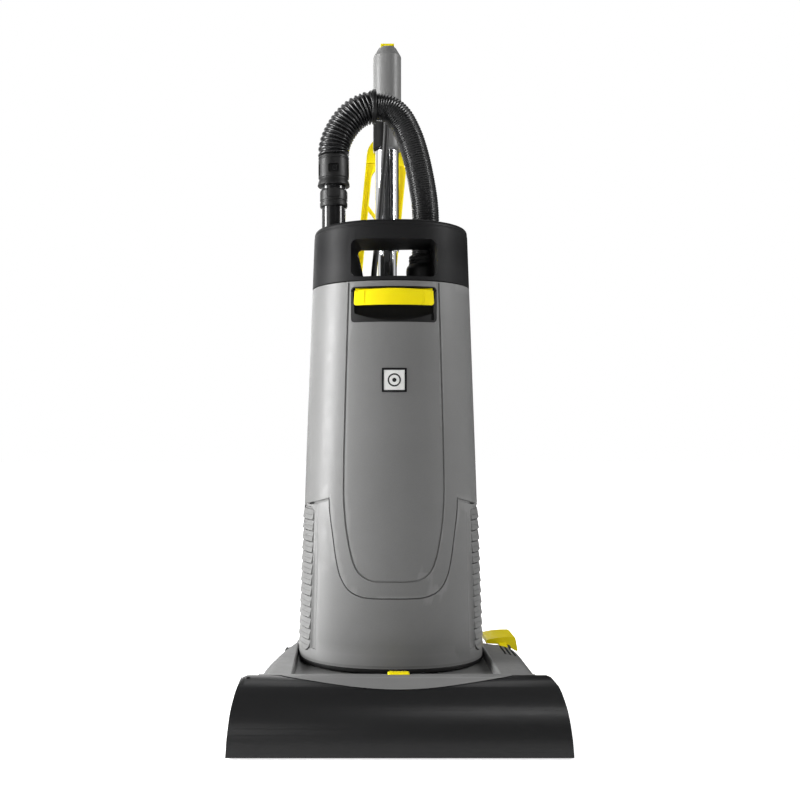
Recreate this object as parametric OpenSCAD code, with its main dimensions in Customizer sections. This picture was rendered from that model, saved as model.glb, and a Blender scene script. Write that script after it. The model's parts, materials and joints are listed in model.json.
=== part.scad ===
// Commercial upright vacuum cleaner, standing upright with its handle lowered.
// X is the width (+X to the right seen from the front), the front faces -Y, +Z is up.
// The origin is on the floor, under the centre of the overall width and depth.

/* [Cleaning head] */
// Width of the head at the floor
head_w = 390; // [384:1:396]
// Width of the head along the top edge of the front cover
head_top_w = 371; // [366:1:376]
// Height of the front cover's crest
cover_h = 80; // [78:1:82]
// How far the front cover leans back from the floor to its crest
cover_run = 55; // [52:1:58]
// Height of the cover's lower edge above the floor
cover_gap = 2; // [1.5:0.5:3]
// Outer radius of the bristles on the brush roller
bristle_r = 29; // [27:1:30]
// Radius of the rear wheels
wheel_r = 30; // [28:1:31]
// Radius of the front rollers
roller_r = 10; // [9:1:10]

/* [Body] */
// Half width of the body at its base
base_half_w = 122; // [120:1:123]
// Half width of the body at the top of its cap
top_half_w = 101.5; // [98:0.5:104]
// Height of the body's lower edge
base_z = 71.5; // [71:0.5:73]
// Height of the seam between the body and the black cap
seam_z = 554; // [550:1:556]
// Height of the top of the cap
cap_z = 630; // [626:1:634]
// Wall thickness of the moulded shells
wall = 3; // [2.5:0.5:3]

/* [Hose and handle] */
// Outside diameter of the wide hose stretch
hose_wide_d = 42; // [40:1:43]
// Outside diameter of the narrow hose stretch
hose_d = 36; // [34:1:37]
// Outside diameter of the fixed lower handle tube
lower_tube_d = 28; // [27:0.5:28]
// Outside diameter of the sliding upper handle tube
upper_tube_d = 34; // [33:0.5:35]
// Width of the grip
grip_w = 40; // [38:1:42]
// Height of the top face of the grip
grip_z = 917; // [914:1:922]

/* [Hidden] */

eps = 0.01;                        // overlap that keeps a cut or a joint clean
fit = 0.05;                        // radial running clearance of a shaft in its bore
gap = 0.8;                         // visible gap between two moulded shells
front_y = -175;                    // front of the head at the floor
back_y = 175;                      // back of the cord hook
crest_y = front_y + cover_run;     // crest of the front cover
cut_w = 165;                       // half width of the dip in the cover's top edge
cut_depth = 10.4;                  // depth of that dip

body_front_y = -65;                // front of the body on its centre line
body_side_y = 28;                  // where the body is widest
body_back_y = 115;                 // flat back of the body
body_n = 48;                       // points round a body section, a multiple of four
front_pow = 2.2;                   // roundness of the body's front
back_pow = 4;                      // squareness of the body's back
seal_z = 66.5;                     // lower edge of the black band under the body
floor_t = 3.5;                     // thickness of the body's floor
motor_deck_z = 238;                // deck between the fan and the bag
vent_y = -22;                      // front edge of the side vents
vent_z = [84.5, 268.5];            // lower and upper edge of the side vents

pivot_y = 60;                      // recline axis
pivot_z = 60;
pivot_r = 6;
arm_x = 123.5;                     // inner face of the head's rear arms
arm_t = 4;
recess_z = 64;                     // floor of the recess under the body
fender_z = 77;                     // top of the head beside the body

brush_y = -133;                    // axis of the brush roller
brush_z = 33;
brush_half = 170;                  // half length of the roller's core
core_r = 17;
shaft_r = 4;
brush_end = 146;                   // right end of the roller's core
pulley_x = 148;                    // inner face of both belt pulleys
pulley_t = 6;
brush_pulley_r = 14;
motor_y = -30;                     // axis of the brush motor
motor_z = 36;
motor_r = 24;
motor_pulley_r = 8;
wheel_y = 95;
wheel_x = 128.5;                   // inner face of a rear wheel
wheel_t = 18;
roller_y = -78;

tongue_z = 159;                    // lowest edge of the bag door
latch_z = [502, 546.5];            // lower and upper edge of the latch recess
latch_half_w = 53.5;
lever_pin = [-55, 541.5];          // y and z of the latch lever's axis
grip_hole = [54, 559, 606];        // half width, lower and upper edge of the carrying hole
bar_depth = 68;                    // depth of the carrying bar

tube_y = 123;                      // axis of the handle tubes
grip_bevel = 15;                   // height of the slope round the grip's top
fan_y = -4;                        // axis of the suction fan
riser_y = 88;                      // axis of the suction riser inside the body's back
inlet_z = 470;                     // height of the filter bag's inlet
hose_y = 25;                       // plane of the hose and of the wand
wand_x = -76;
port_x = 46;
winder_y = 155;
winder_tilt = 5.5;                 // lean of the cord winder, in degrees
winder_pivot = [3, 790];           // x and z of the winder's swivel
winder_half_w = 30;
winder_strip = 10;                 // width of the winder's strip

// Half width of the body at height z
function half_w(z) = base_half_w - (base_half_w - top_half_w) * (z - base_z) / (cap_z - base_z);
// Signed power, for the rounded body section
function spow(v, p) = sign(v) * pow(abs(v), p);
// One closed body section at height z, pulled in by inset all round
function ring(z, inset = 0) = [for (i = [0 : body_n - 1])
    let (a = 360 * i / body_n, p = sin(a) < 0 ? 2 / front_pow : 2 / back_pow,
        run = (sin(a) < 0 ? body_side_y - body_front_y : body_back_y - body_side_y) - inset)
    [(half_w(z) - inset) * spow(cos(a), p), body_side_y + run * spow(sin(a), p), z]];

// Closed solid through a list of sections that have equally many points
module loft(sections) {
    n = len(sections[0]);
    last = (len(sections) - 1) * n;
    sides = [for (s = [0 : len(sections) - 2], i = [0 : n - 1])
        let (a = s * n + i, b = s * n + (i + 1) % n) each [[a, a + n, b + n], [a, b + n, b]]];
    polyhedron(points = [for (s = sections) each s],
        faces = concat([[for (i = [0 : n - 1]) i]], sides, [[for (i = [n - 1 : -1 : 0]) last + i]]));
}

// Solid of the body's outer form between two heights
module body_form(z0, z1, inset = 0) {
    loft([ring(z0, inset), ring(z1, inset)]);
}

// Open shell of the body's form
module body_shell(z0, z1, t) {
    difference() {
        body_form(z0, z1);
        body_form(z0 - 1, z1 + 1, t);
    }
}

// Box from its low corner to its high corner
module box(low, high) {
    translate(low) cube(high - low);
}

// Cylinder along X from x0 to x1, at the given y and z
module rod_x(x0, x1, y, z, r) {
    translate([x0, y, z]) rotate([0, 90, 0]) cylinder(h = x1 - x0, r = r, $fn = 64);
}

// Plate between two y values, drawn as an outline in x and z
module plate_y(y0, y1) {
    translate([0, y1, 0]) rotate([90, 0, 0]) linear_extrude(y1 - y0) children();
}

// Bar along X between two x values, drawn as an outline in y and z
module bar_x(x0, x1) {
    translate([x0, 0, 0]) rotate([90, 0, 90]) linear_extrude(x1 - x0) children();
}

// Tube of a given radius, swept along a route of points that never runs along the flat direction
module sweep_tube(route, r, sides, flat) {
    n = len(route);
    function along(i) = let (d = route[min(i + 1, n - 1)] - route[max(i - 1, 0)]) d / norm(d);
    sections = [for (i = [0 : n - 1])
        let (t = along(i), u = cross(flat, t) / norm(cross(flat, t)), v = cross(t, u))
        [for (k = [0 : sides - 1]) let (a = 360 * k / sides)
            route[i] + r * (cos(a) * u + sin(a) * v)]];
    loft(sections);
}

// Point on the profile of the front cover, at an angle from the floor to the crest
function cover_point(a, t = 0) = [crest_y - (cover_run - t) * cos(a), (cover_h - t) * sin(a)];
// Height of the front cover's top edge at a distance x from the centre line
function cover_edge(x) = cover_h - cut_depth * (1 + cos(180 * min(1, abs(x) / cut_w))) / 2;

// Solid between the cover's outer skin and the same skin moved in by t
module cover_skin(half, t, a0) {
    steps = 18;
    bar_x(-half, half) polygon(concat(
        [for (i = [0 : steps]) cover_point(a0 + (90 - a0) * i / steps)],
        [for (i = [steps : -1 : 0]) cover_point(a0 + (90 - a0) * i / steps, t)]));
}

// Everything above the curved line of the cover's top edge, moved up by rise
module above_edge(rise) {
    plate_y(front_y - 5, crest_y + 30) polygon(concat(
        [for (x = [-cut_w : 10 : cut_w]) [x, cover_edge(x) + rise]],
        [[cut_w, cover_h + 20], [-cut_w, cover_h + 20]]));
}

// ---------------------------------------------------------------- cleaning head

module head_base() {
    color([0.16, 0.16, 0.17]) difference() {
        union() {
            box([-124, -98, 8], [124, 44, 11]);
            for (s = [-1, 1]) fender(s, 8, 11, 4);
            box([-180, -98, 8], [180, -95, 60.6]);
            box([-10, -112, 58], [15, -97, 60.6]);
            box([-10, -119, 58], [15, -111, 62]);
            for (s = [-1, 1]) {
                bar_x(min(s * 179, s * 183), max(s * 179, s * 183)) polygon([[-160, 8], [-160, 42],
                    [-144, 62], [-118, 62], [-60, 50], [-60, 8]]);
                box([min(s * arm_x, s * (arm_x + arm_t)), -95, 8],
                    [max(s * arm_x, s * (arm_x + arm_t)), 112, 60]);
                rod_x(min(s * arm_x, s * (arm_x + arm_t)), max(s * arm_x, s * (arm_x + arm_t)),
                    pivot_y, pivot_z, 13);
            }
            box([146, 28, 8], [164, 54, 62]);
            box([127, 28, 8], [161, 34, 24]);
            for (x = [146, 161.3]) box([x, 42, 60], [x + 2.7, 54, 74]);
            box([20, motor_y - 28, 11], [26, motor_y + 28, 20]);
            box([90, motor_y - 28, 11], [96, motor_y + 28, 20]);
        }
        for (s = [-1, 1]) {
            rod_x(s * 125.5 - 4, s * 125.5 + 4, pivot_y, pivot_z, pivot_r);
            rod_x(s * 125.5 - 4, s * 125.5 + 4, wheel_y, wheel_r, shaft_r);
            rod_x(s * 181 - 4, s * 181 + 4, brush_y, brush_z, 9);
            box([s * 110 - 13, roller_y - 12, 7], [s * 110 + 13, roller_y + 12, 12]);
        }
        rod_x(115, 135, motor_y, motor_z, 4.5);
        rod_x(11, 112, motor_y, motor_z, motor_r + 0.3);
        for (s = [-1, 1]) rod_x(s * 110 - 15.1, s * 110 + 15.1, roller_y, roller_r, 2.51);
        box([-68, -99, 15], [-40, -94, 45]);
        box([pulley_x - 4, -100, 12], [pulley_x + pulley_t + 4, -90, 58]);
        rod_x(140, 170, 48, 69.5, 3);
        box([-82, 30, 7], [26, 45, 12]);
    }
}

// Outline of the head beside the body, seen from above; side is -1 for left and 1 for right
function fender_x(side, y) = let (v = (y - crest_y + 5) / (side < 0 ? 190 : 178))
    side * (arm_x + (side < 0 ? 40 : 44) * (1 - pow(max(0, min(1, v)), side < 0 ? 2.2 : 14)));

// Solid of the head beside the body, from its inner face outwards, pulled in by inset
module fender(side, z0, z1, inset, inner = arm_x, front = crest_y) {
    ends = (side < 0 ? 70 : 50) - inset;
    least = arm_x + max(0.4, 3.4 - inset);
    ys = [for (i = [0 : 14]) front + (ends - front) * i / 14];
    translate([0, 0, z0]) linear_extrude(z1 - z0) polygon(concat(
        [for (y = ys) [side * max(least, side * fender_x(side, y) - inset), y]],
        [[side * inner, ends], [side * inner, front]]));
}

module head_top_cover() {
    color([0.48, 0.48, 0.49]) difference() {
        union() {
            intersection() {
                cover_skin(cut_w - 2, wall, 40);
                above_edge(gap);
            }
            box([-163, crest_y - eps, cover_h - 6], [163, crest_y + 8, cover_h - eps]);
            box([-163, crest_y + 5, recess_z - 3], [163, crest_y + 8, cover_h - 1]);
            box([-124, crest_y + 5, recess_z - 3], [124, 36, recess_z]);
            for (s = [-1, 1]) difference() {
                fender(s, 12, fender_z, 0);
                fender(s, 0, fender_z - 3, 3, arm_x - 1, crest_y - 1);
            }
        }
        for (i = [0 : 2]) translate([140 + 6 * i, 4 + 3 * i, fender_z - 4])
            rotate([0, 0, -14]) cube([2.5, 32, 10]);
        box([-11.5, crest_y, recess_z - 8], [16.5, crest_y + 14, cover_h + 10]);
        box([126, 24, -1], [170, 72, fender_z - 2]);
        rod_x(-130, -120, pivot_y, pivot_z, 13.5);
        rod_x(120, 130, pivot_y, pivot_z, 13.5);
        for (s = [-1, 1]) box([s * (arm_x + 2) - 2.3, crest_y - 1, 0], [s * (arm_x + 2) + 2.3, 112, 60.3]);
        box([-181, -98.3, 0], [181, -94.7, 60.9]);
        rod_x(-181, 181, brush_y, brush_z, bristle_r + 2);
    }
}

module brush_cover() {
    color([0.13, 0.13, 0.14]) difference() {
        intersection() {
            union() {
                cover_skin(head_w / 2, wall, 1.5);
                for (s = [-1, 1]) bar_x(min(s * 184, s * 195), max(s * 184, s * 195))
                    polygon(concat([for (i = [0 : 12]) cover_point(1.5 + 88.5 * i / 12)],
                        [[crest_y + 18, cover_h - 4], [crest_y + 40, 30], [crest_y + 40, cover_gap]]));
            }
            plate_y(front_y - 5, crest_y + 60) polygon([[-head_w / 2, cover_gap],
                [head_w / 2, cover_gap], [head_w / 2 - 1.5, 24], [head_top_w / 2 + 2, 70],
                [head_top_w / 2, cover_h], [-head_top_w / 2, cover_h], [-head_top_w / 2 - 2, 70],
                [-head_w / 2 + 1.5, 24]]);
        }
        above_edge(0);
        box([-163.2, crest_y - 0.1, 60], [163.2, crest_y + 10, cover_h + 1]);
    }
}

module bumper_strip() {
    color([0.08, 0.08, 0.08]) box([-183.5, front_y + 4.2, 1], [183.5, front_y + 8, 14]);
}

module sole_plate() {
    color([0.3, 0.3, 0.31]) difference() {
        box([-183, front_y + 9, 5], [183, -60, 7.9]);
        box([-173, brush_y - 22, 4], [173, brush_y + 22, 9]);
        for (s = [-1, 1]) {
            box([s * 110 - 13, roller_y - 12, 4], [s * 110 + 13, roller_y + 12, 9]);
            rod_x(s * 110 - 15.1, s * 110 + 15.1, roller_y, roller_r, 2.51);
        }
    }
}

module brush_roller() {
    color([0.2, 0.2, 0.21]) union() {
        rod_x(-brush_half, brush_end, brush_y, brush_z, core_r);
        rod_x(-183, 183, brush_y, brush_z, shaft_r);
        rod_x(brush_end - eps, pulley_x + pulley_t, brush_y, brush_z, brush_pulley_r);
    }
}

module brush_bristles() {
    tufts = 20;
    pitch = (brush_end + brush_half - 16) / tufts;
    color([0.85, 0.75, 0.1]) for (i = [0 : tufts], row = [0, 1])
        translate([-brush_half + 8 + i * pitch, brush_y, brush_z])
            rotate([row * 180 + i * 180 / tufts, 0, 0])
                translate([0, 0, core_r + eps]) cylinder(h = bristle_r - core_r - eps, r = 2.6, $fn = 16);
}

module roller_bearings() {
    color([0.6, 0.6, 0.62]) for (s = [-1, 1]) difference() {
        rod_x(s * 181 - 2, s * 181 + 2, brush_y, brush_z, 9 - fit);
        rod_x(s * 181 - 3, s * 181 + 3, brush_y, brush_z, shaft_r + fit);
    }
}

module belt_outline(extra) {
    hull() {
        translate([brush_y, brush_z]) circle(r = brush_pulley_r + extra, $fn = 48);
        translate([motor_y, motor_z]) circle(r = motor_pulley_r + extra, $fn = 48);
    }
}

module drive_belt() {
    color([0.1, 0.1, 0.1]) bar_x(pulley_x + 1, pulley_x + pulley_t - 1) difference() {
        belt_outline(2);
        belt_outline(0.2);
    }
}

module brush_motor() {
    color([0.55, 0.55, 0.57]) difference() {
        union() {
            rod_x(12, 104, motor_y, motor_z, motor_r);
            rod_x(104, 110, motor_y, motor_z, 10);
        }
        rod_x(96, 112, motor_y, motor_z, 3 + fit);
    }
}

module motor_pulley() {
    color([0.7, 0.7, 0.72]) union() {
        rod_x(97, pulley_x + eps, motor_y, motor_z, 3);
        rod_x(pulley_x, pulley_x + pulley_t, motor_y, motor_z, motor_pulley_r);
    }
}

module suction_duct() {
    color([0.18, 0.18, 0.19]) difference() {
        union() {
            box([-76, -94, 12], [-32, pivot_y - 12, 48]);
            rod_x(-76, -32, pivot_y, pivot_z, 22.5);
            box([-76, 36, 12], [-32, pivot_y, 52]);
        }
        box([-72, -95, 15], [-36, pivot_y - 14, 45]);
        rod_x(-73, -31, pivot_y, pivot_z, 19.5);
        box([-72, 36, 15], [-36, pivot_y, 50]);
    }
}

module wheel(x0) {
    difference() {
        translate([x0, wheel_y, wheel_r]) rotate([0, 90, 0]) rotate_extrude($fn = 96)
            polygon([[0, 0], [wheel_r - 2, 0], [wheel_r, 2], [wheel_r, wheel_t - 2],
                [wheel_r - 2, wheel_t], [0, wheel_t]]);
        rod_x(x0 - 1, x0 + wheel_t + 1, wheel_y, wheel_r, shaft_r + fit);
    }
}

module rear_wheel_left() {
    color([0.1, 0.1, 0.1]) wheel(-wheel_x - wheel_t);
}

module rear_wheel_right() {
    color([0.1, 0.1, 0.1]) wheel(wheel_x);
}

module wheel_axles() {
    color([0.75, 0.75, 0.77]) for (s = [-1, 1]) union() {
        rod_x(min(s * 121, s * 148), max(s * 121, s * 148), wheel_y, wheel_r, shaft_r - 0.01);
        rod_x(min(s * 147, s * 150), max(s * 147, s * 150), wheel_y, wheel_r, 7);
    }
}

module front_roller(x) {
    difference() {
        rod_x(x - 9, x + 9, roller_y, roller_r, roller_r);
        rod_x(x - 10, x + 10, roller_y, roller_r, 2.5 + fit);
    }
}

module front_roller_left() {
    color([0.12, 0.12, 0.12]) front_roller(-110);
}

module front_roller_right() {
    color([0.12, 0.12, 0.12]) front_roller(110);
}

module front_roller_pins() {
    color([0.75, 0.75, 0.77]) for (s = [-1, 1])
        rod_x(s * 110 - 15, s * 110 + 15, roller_y, roller_r, 2.5);
}

module foot_pedal() {
    color([0.95, 0.86, 0]) difference() {
        union() {
            plate_y(56, 104) polygon([[133, 75], [133, 80], [148, 83], [169, 84], [172, 82],
                [178, 64], [176.5, 62], [168, 68], [158, 73], [147, 75]]);
            rod_x(149.5, 160.5, 48, 69.5, 5);
            bar_x(150, 160) polygon([[48, 65], [60, 70], [60, 78], [52, 74.5], [48, 74]]);
        }
        rod_x(148, 162, 48, 69.5, 3 + fit);
    }
}

module pedal_pin() {
    color([0.75, 0.75, 0.77]) rod_x(145.5, 164.5, 48, 69.5, 2.99);
}

module pedal_spring() {
    color([0.7, 0.7, 0.72]) difference() {
        rod_x(146 + 2.8, 149.4, 48, 69.5, 4.6);
        rod_x(146, 152, 48, 69.5, 3.1);
    }
}

module cover_release_button() {
    color([0.95, 0.86, 0]) union() {
        box([-10.5, crest_y + 1, 74], [15.5, crest_y + 13, 81.5]);
        box([-8, crest_y + 3, 68], [13, crest_y + 11, 74 + eps]);
    }
}

module release_spring() {
    color([0.7, 0.7, 0.72]) translate([2.5, crest_y + 7, 62.1]) difference() {
        cylinder(h = 5.8, r = 3.8, $fn = 32);
        translate([0, 0, -1]) cylinder(h = 8, r = 3, $fn = 32);
    }
}

module pivot_pins() {
    color([0.75, 0.75, 0.77]) for (s = [-1, 1])
        rod_x(min(s * 103, s * 127.5), max(s * 103, s * 127.5), pivot_y, pivot_z, pivot_r - 0.01);
}

// ---------------------------------------------------------------- body

module base_seal() {
    color([0.05, 0.05, 0.05]) difference() {
        body_form(seal_z, base_z - 0.02);
        body_form(seal_z - 1, base_z + 1, 6);
    }
}

module ear(s) {
    bar_x(min(s * 105, s * 113), max(s * 105, s * 113)) difference() {
        union() {
            translate([pivot_y, pivot_z]) circle(r = 11, $fn = 64);
            translate([pivot_y - 11, pivot_z]) square([22, 14]);
        }
        translate([pivot_y, pivot_z]) circle(r = pivot_r + fit, $fn = 64);
    }
}

module rear_housing() {
    color([0.44, 0.44, 0.45]) difference() {
        union() {
            intersection() {
                body_shell(base_z + floor_t - eps, seam_z - 0.2, wall);
                box([-130, body_side_y + 0.4, base_z], [130, body_back_y + 1, seam_z]);
            }
            body_form(base_z, base_z + floor_t);
            body_form(motor_deck_z, motor_deck_z + 3, wall + 0.4);
            intersection() {
                body_form(motor_deck_z, motor_deck_z + 3, wall - 0.5);
                box([-130, body_side_y + 0.4, motor_deck_z], [130, body_back_y, motor_deck_z + 3]);
            }
            box([-24, body_back_y - wall, 380], [24, 142, seam_z]);
            ear(-1);
            ear(1);
        }
        translate([0, tube_y, 384]) cylinder(h = 200, r = lower_tube_d / 2 + 0.02, $fn = 96);
        box([-84, 28, base_z - 1], [26, 109, base_z + floor_t + 1]);
        translate([0, riser_y, motor_deck_z - 1]) cylinder(h = 5, r = 21, $fn = 64);
        translate([0, fan_y, motor_deck_z - 1]) cylinder(h = 5, r = 34, $fn = 64);
        translate([0, fan_y, base_z - 1]) cylinder(h = 6, r = 20, $fn = 64);
    }
}

// Openings for the side vents in the front half of the body
module vent_cut() {
    for (s = [-1, 1]) box([s * 115 - 19, vent_y - 0.5, vent_z[0] - 0.5],
        [s * 115 + 19, body_side_y + 1, vent_z[1] + 0.5]);
}

// Outline of the bag door in x and z, grown by g
function door_outline(g) = let (lx = g * 1.0)
    [[-44 - lx * 0.5, tongue_z - g], [44 + lx * 0.5, tongue_z - g], [57 + lx, 167 - lx * 0.7],
    [66.5 + lx, 180], [71 + lx, 200], [76 + lx, 236], [79.5 + lx, 261], [81 + lx, 283 - g],
    [113, 272 - g], [130, 266 - g], [130, seam_z - 2 + g], [-130, seam_z - 2 + g], [-130, 266 - g],
    [-113, 272 - g], [-81 - lx, 283 - g], [-79.5 - lx, 261], [-76 - lx, 236], [-71 - lx, 200],
    [-66.5 - lx, 180], [-57 - lx, 167 - lx * 0.7]];

module lower_front_panel() {
    color([0.46, 0.46, 0.47]) difference() {
        intersection() {
            body_shell(base_z + floor_t + 0.05, 300, wall);
            box([-130, body_front_y - 5, base_z], [130, body_side_y, 292]);
        }
        plate_y(body_front_y - 6, body_side_y + 1) polygon(door_outline(gap));
        vent_cut();
    }
}

module bag_door() {
    color([0.48, 0.48, 0.49]) difference() {
        union() {
            intersection() {
                body_shell(tongue_z, seam_z - 1, wall);
                plate_y(body_front_y - 6, body_side_y) polygon(door_outline(0));
            }
            for (x = [-28, 16]) {
                box([x, body_front_y + 5.4, tongue_z - 6], [x + 12, body_front_y + 8, tongue_z + 12]);
                box([x, body_front_y + 2, tongue_z + 2], [x + 12, body_front_y + 6, tongue_z + 12]);
            }
        }
        plate_y(body_front_y - 6, -30) translate([-latch_half_w, latch_z[0]])
            square([2 * latch_half_w, latch_z[1] - latch_z[0]]);
        vent_cut();
    }
}

module door_badge() {
    color([0.9, 0.9, 0.9]) intersection() {
        difference() {
            loft([ring(410, -0.8), ring(450, -0.8)]);
            body_form(409, 451, -0.02);
        }
        plate_y(-75, -40) translate([-15.5, 415]) square([31, 30]);
    }
}

module latch_lever() {
    color([0.95, 0.86, 0]) difference() {
        union() {
            intersection() {
                body_shell(520, 546, wall);
                plate_y(-75, -30) translate([-50, 523.5]) square([100, 20.3]);
            }
            rod_x(-48, 48, lever_pin[0], lever_pin[1], 3.4);
            for (s = [-1, 1]) box([s * 36 - 2, -61.5, 526], [s * 36 + 2, lever_pin[0], 541]);
        }
        rod_x(-55, 55, lever_pin[0], lever_pin[1], 1.5 + fit);
    }
}

module latch_pin() {
    color([0.75, 0.75, 0.77]) rod_x(-52.9, 52.9, lever_pin[0], lever_pin[1], 1.5);
}

module latch_bezel() {
    color([0.06, 0.06, 0.06]) difference() {
        intersection() {
            body_form(latch_z[0], latch_z[1], 0.3);
            box([-latch_half_w + 0.1, -70, latch_z[0] + 0.1],
                [latch_half_w - 0.1, -34, latch_z[1] - 0.1]);
        }
        box([-latch_half_w + 2.5, -75, latch_z[0] + 2], [latch_half_w - 2.5, -37, latch_z[1] - 0.5]);
        rod_x(-latch_half_w - 1, latch_half_w + 1, lever_pin[0], lever_pin[1], 1.51);
    }
}

module top_cap() {
    hw = grip_hole[0];
    inner_y = body_front_y + bar_depth;
    color([0.17, 0.17, 0.18]) difference() {
        union() {
            difference() {
                loft([ring(seam_z, 0), ring(cap_z - 6, 0), ring(cap_z - 2, 1), ring(cap_z, 3.5)]);
                body_form(seam_z - 1, cap_z - 3.5, 3.5);
            }
            intersection() {
                body_form(seam_z, cap_z - 2, 0.5);
                union() {
                    box([-hw - 3, -80, seam_z], [hw + 3, inner_y + 3, grip_hole[2] + 3]);
                    box([-hw - 3, inner_y - 3, seam_z], [87, 130, cap_z]);
                    translate([wand_x, hose_y, seam_z]) cylinder(h = cap_z, r = 21, $fn = 64);
                }
            }
        }
        box([-hw, -90, grip_hole[1]], [hw, inner_y + 1, grip_hole[2]]);
        box([-hw, inner_y, seam_z + 3.5], [84, 130, cap_z + 1]);
        translate([wand_x, hose_y, seam_z + 10]) cylinder(h = 80, r = 16.6, $fn = 64);
        translate([port_x, hose_y, seam_z - 1]) cylinder(h = 10, r = 20.1, $fn = 64);
        translate([port_x, hose_y, seam_z + 3.5]) cylinder(h = 32, r = 25.4, $fn = 64);
        translate([0, tube_y, seam_z - 1]) cylinder(h = 90, r = 22, $fn = 64);
    }
}

module filter_bag() {
    color([0.92, 0.92, 0.9]) translate([0, -2, 246]) linear_extrude(250) {
        for (s = [-1, 1]) translate([s * 44, 0]) circle(r = 44, $fn = 96);
        translate([-44, -44]) square([88, 88]);
    }
}

module bag_holder() {
    color([0.25, 0.4, 0.6]) difference() {
        box([-48, 43, inlet_z - 36], [48, 49.9, inlet_z + 40]);
        translate([0, 55, inlet_z]) rotate([90, 0, 0]) cylinder(h = 14, r = 14, $fn = 64);
    }
}

module suction_elbow() {
    color([0.2, 0.2, 0.21]) difference() {
        union() {
            rod_x(-70, -18, pivot_y, pivot_z, 19);
            box([-19, pivot_y - 19, 48], [19, riser_y + 19, 112]);
            translate([0, riser_y, 111]) cylinder(h = inlet_z + 22 - 111, r = 18, $fn = 64);
            translate([0, riser_y, inlet_z]) rotate([90, 0, 0]) cylinder(h = riser_y - 50.1, r = 17, $fn = 64);
        }
        rod_x(-71, -15, pivot_y, pivot_z, 16);
        box([-16, pivot_y - 16, 51], [16, riser_y + 16, 109]);
        translate([0, riser_y, 105]) cylinder(h = inlet_z + 14 - 105, r = 15, $fn = 64);
        translate([0, riser_y, inlet_z]) rotate([90, 0, 0]) cylinder(h = riser_y, r = 13, $fn = 64);
    }
}

module fan_motor() {
    color([0.5, 0.5, 0.52]) difference() {
        union() {
            translate([0, fan_y, 75.02]) cylinder(h = 85, r = 42, $fn = 96);
            translate([0, fan_y, 160]) cylinder(h = 50, r = 53.5, $fn = 96);
        }
        translate([0, fan_y, 166]) cylinder(h = 50, r = 49.5, $fn = 96);
        translate([0, fan_y, 140]) cylinder(h = 30, r = 4 + fit, $fn = 48);
    }
}

module fan_impeller() {
    color([0.75, 0.75, 0.77]) translate([0, fan_y, 0]) union() {
        translate([0, 0, 142]) cylinder(h = 62, r = 4, $fn = 48);
        translate([0, 0, 170]) cylinder(h = 2, r = 46, $fn = 96);
        for (i = [0 : 8]) rotate([0, 0, i * 40]) translate([12, -1, 172 - eps]) cube([33, 2, 16 + 2 * eps]);
        translate([0, 0, 188]) difference() {
            cylinder(h = 2, r = 46, $fn = 96);
            translate([0, 0, -1]) cylinder(h = 4, r = 24, $fn = 64);
        }
    }
}

module motor_filter() {
    color([0.9, 0.9, 0.86]) translate([0, fan_y, 212]) cylinder(h = 24, r = 50, $fn = 64);
}

module exhaust_filter() {
    color([0.88, 0.88, 0.84]) for (s = [-1, 1])
        box([min(s * 84, s * 98), -20, 90], [max(s * 84, s * 98), 60, 232]);
}

module vent_grille(s) {
    ribs = 12;
    first_z = 94;
    pitch = 14;
    color([0.42, 0.42, 0.43]) union() {
        intersection() {
            body_shell(vent_z[0], vent_z[1], wall);
            box([min(s * 98, s * 130), vent_y, vent_z[0]],
                [max(s * 98, s * 130), body_side_y - 0.05, vent_z[1]]);
        }
        for (i = [0 : ribs - 1]) intersection() {
            difference() {
                body_form(first_z + i * pitch, first_z + i * pitch + 6, -1.6);
                body_form(first_z + i * pitch - 1, first_z + i * pitch + 7, 1);
            }
            box([min(s * 98, s * 130), vent_y + 1, 84], [max(s * 98, s * 130), body_side_y - 0.5, 269]);
        }
    }
}

module vent_grille_left() {
    vent_grille(-1);
}

module vent_grille_right() {
    vent_grille(1);
}

module lower_tube() {
    color([0.85, 0.86, 0.88]) difference() {
        translate([0, tube_y, 384]) cylinder(h = 512, r = lower_tube_d / 2, $fn = 96);
        translate([0, tube_y, 383]) cylinder(h = 514, r = lower_tube_d / 2 - 1.5, $fn = 96);
    }
}

module tube_clamp() {
    color([0.12, 0.12, 0.13]) difference() {
        translate([0, tube_y, seam_z + 0.1]) cylinder(h = 20, r = 20, $fn = 96);
        translate([0, tube_y, seam_z - 1]) cylinder(h = 26, r = lower_tube_d / 2 + 0.02, $fn = 96);
    }
}

// ---------------------------------------------------------------- hose and wand

// Centre line of the hose, from the port on the cap to the wand's collar
hose_fine_route = [[46, hose_y, 600], [47, hose_y, 646], [45, hose_y, 676], [39, hose_y, 711],
    [32, hose_y, 740], [24, hose_y, 763], [12, hose_y, 785], [-3, hose_y, 797], [-22, hose_y, 800]];
hose_coarse_route = [[-22, hose_y, 800], [-34, hose_y, 797], [-46, hose_y, 791],
    [-58, hose_y, 780], [-67, hose_y, 767], [-73.5, hose_y, 753], [-76, hose_y, 741],
    [-76, hose_y, 733.2]];

module hose_cuff() {
    color([0.07, 0.07, 0.07]) difference() {
        union() {
            translate([port_x, hose_y, seam_z + 3.6]) cylinder(h = 30, r = 25, $fn = 96);
            translate([port_x, hose_y, seam_z + 33]) cylinder(h = 13, r = 21.5, $fn = 96);
            translate([port_x, hose_y, seam_z - 8]) cylinder(h = 12, r = 20, $fn = 96);
        }
        translate([port_x, hose_y, seam_z - 9]) cylinder(h = 90, r = 16, $fn = 96);
    }
}

module hose_fine() {
    color([0.15, 0.15, 0.16]) sweep_tube(hose_fine_route, hose_d / 2, 12, [0, 1, 0]);
}

module hose_coarse() {
    color([0.15, 0.15, 0.16]) sweep_tube(hose_coarse_route, hose_wide_d / 2, 12, [0, 1, 0]);
}

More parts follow.
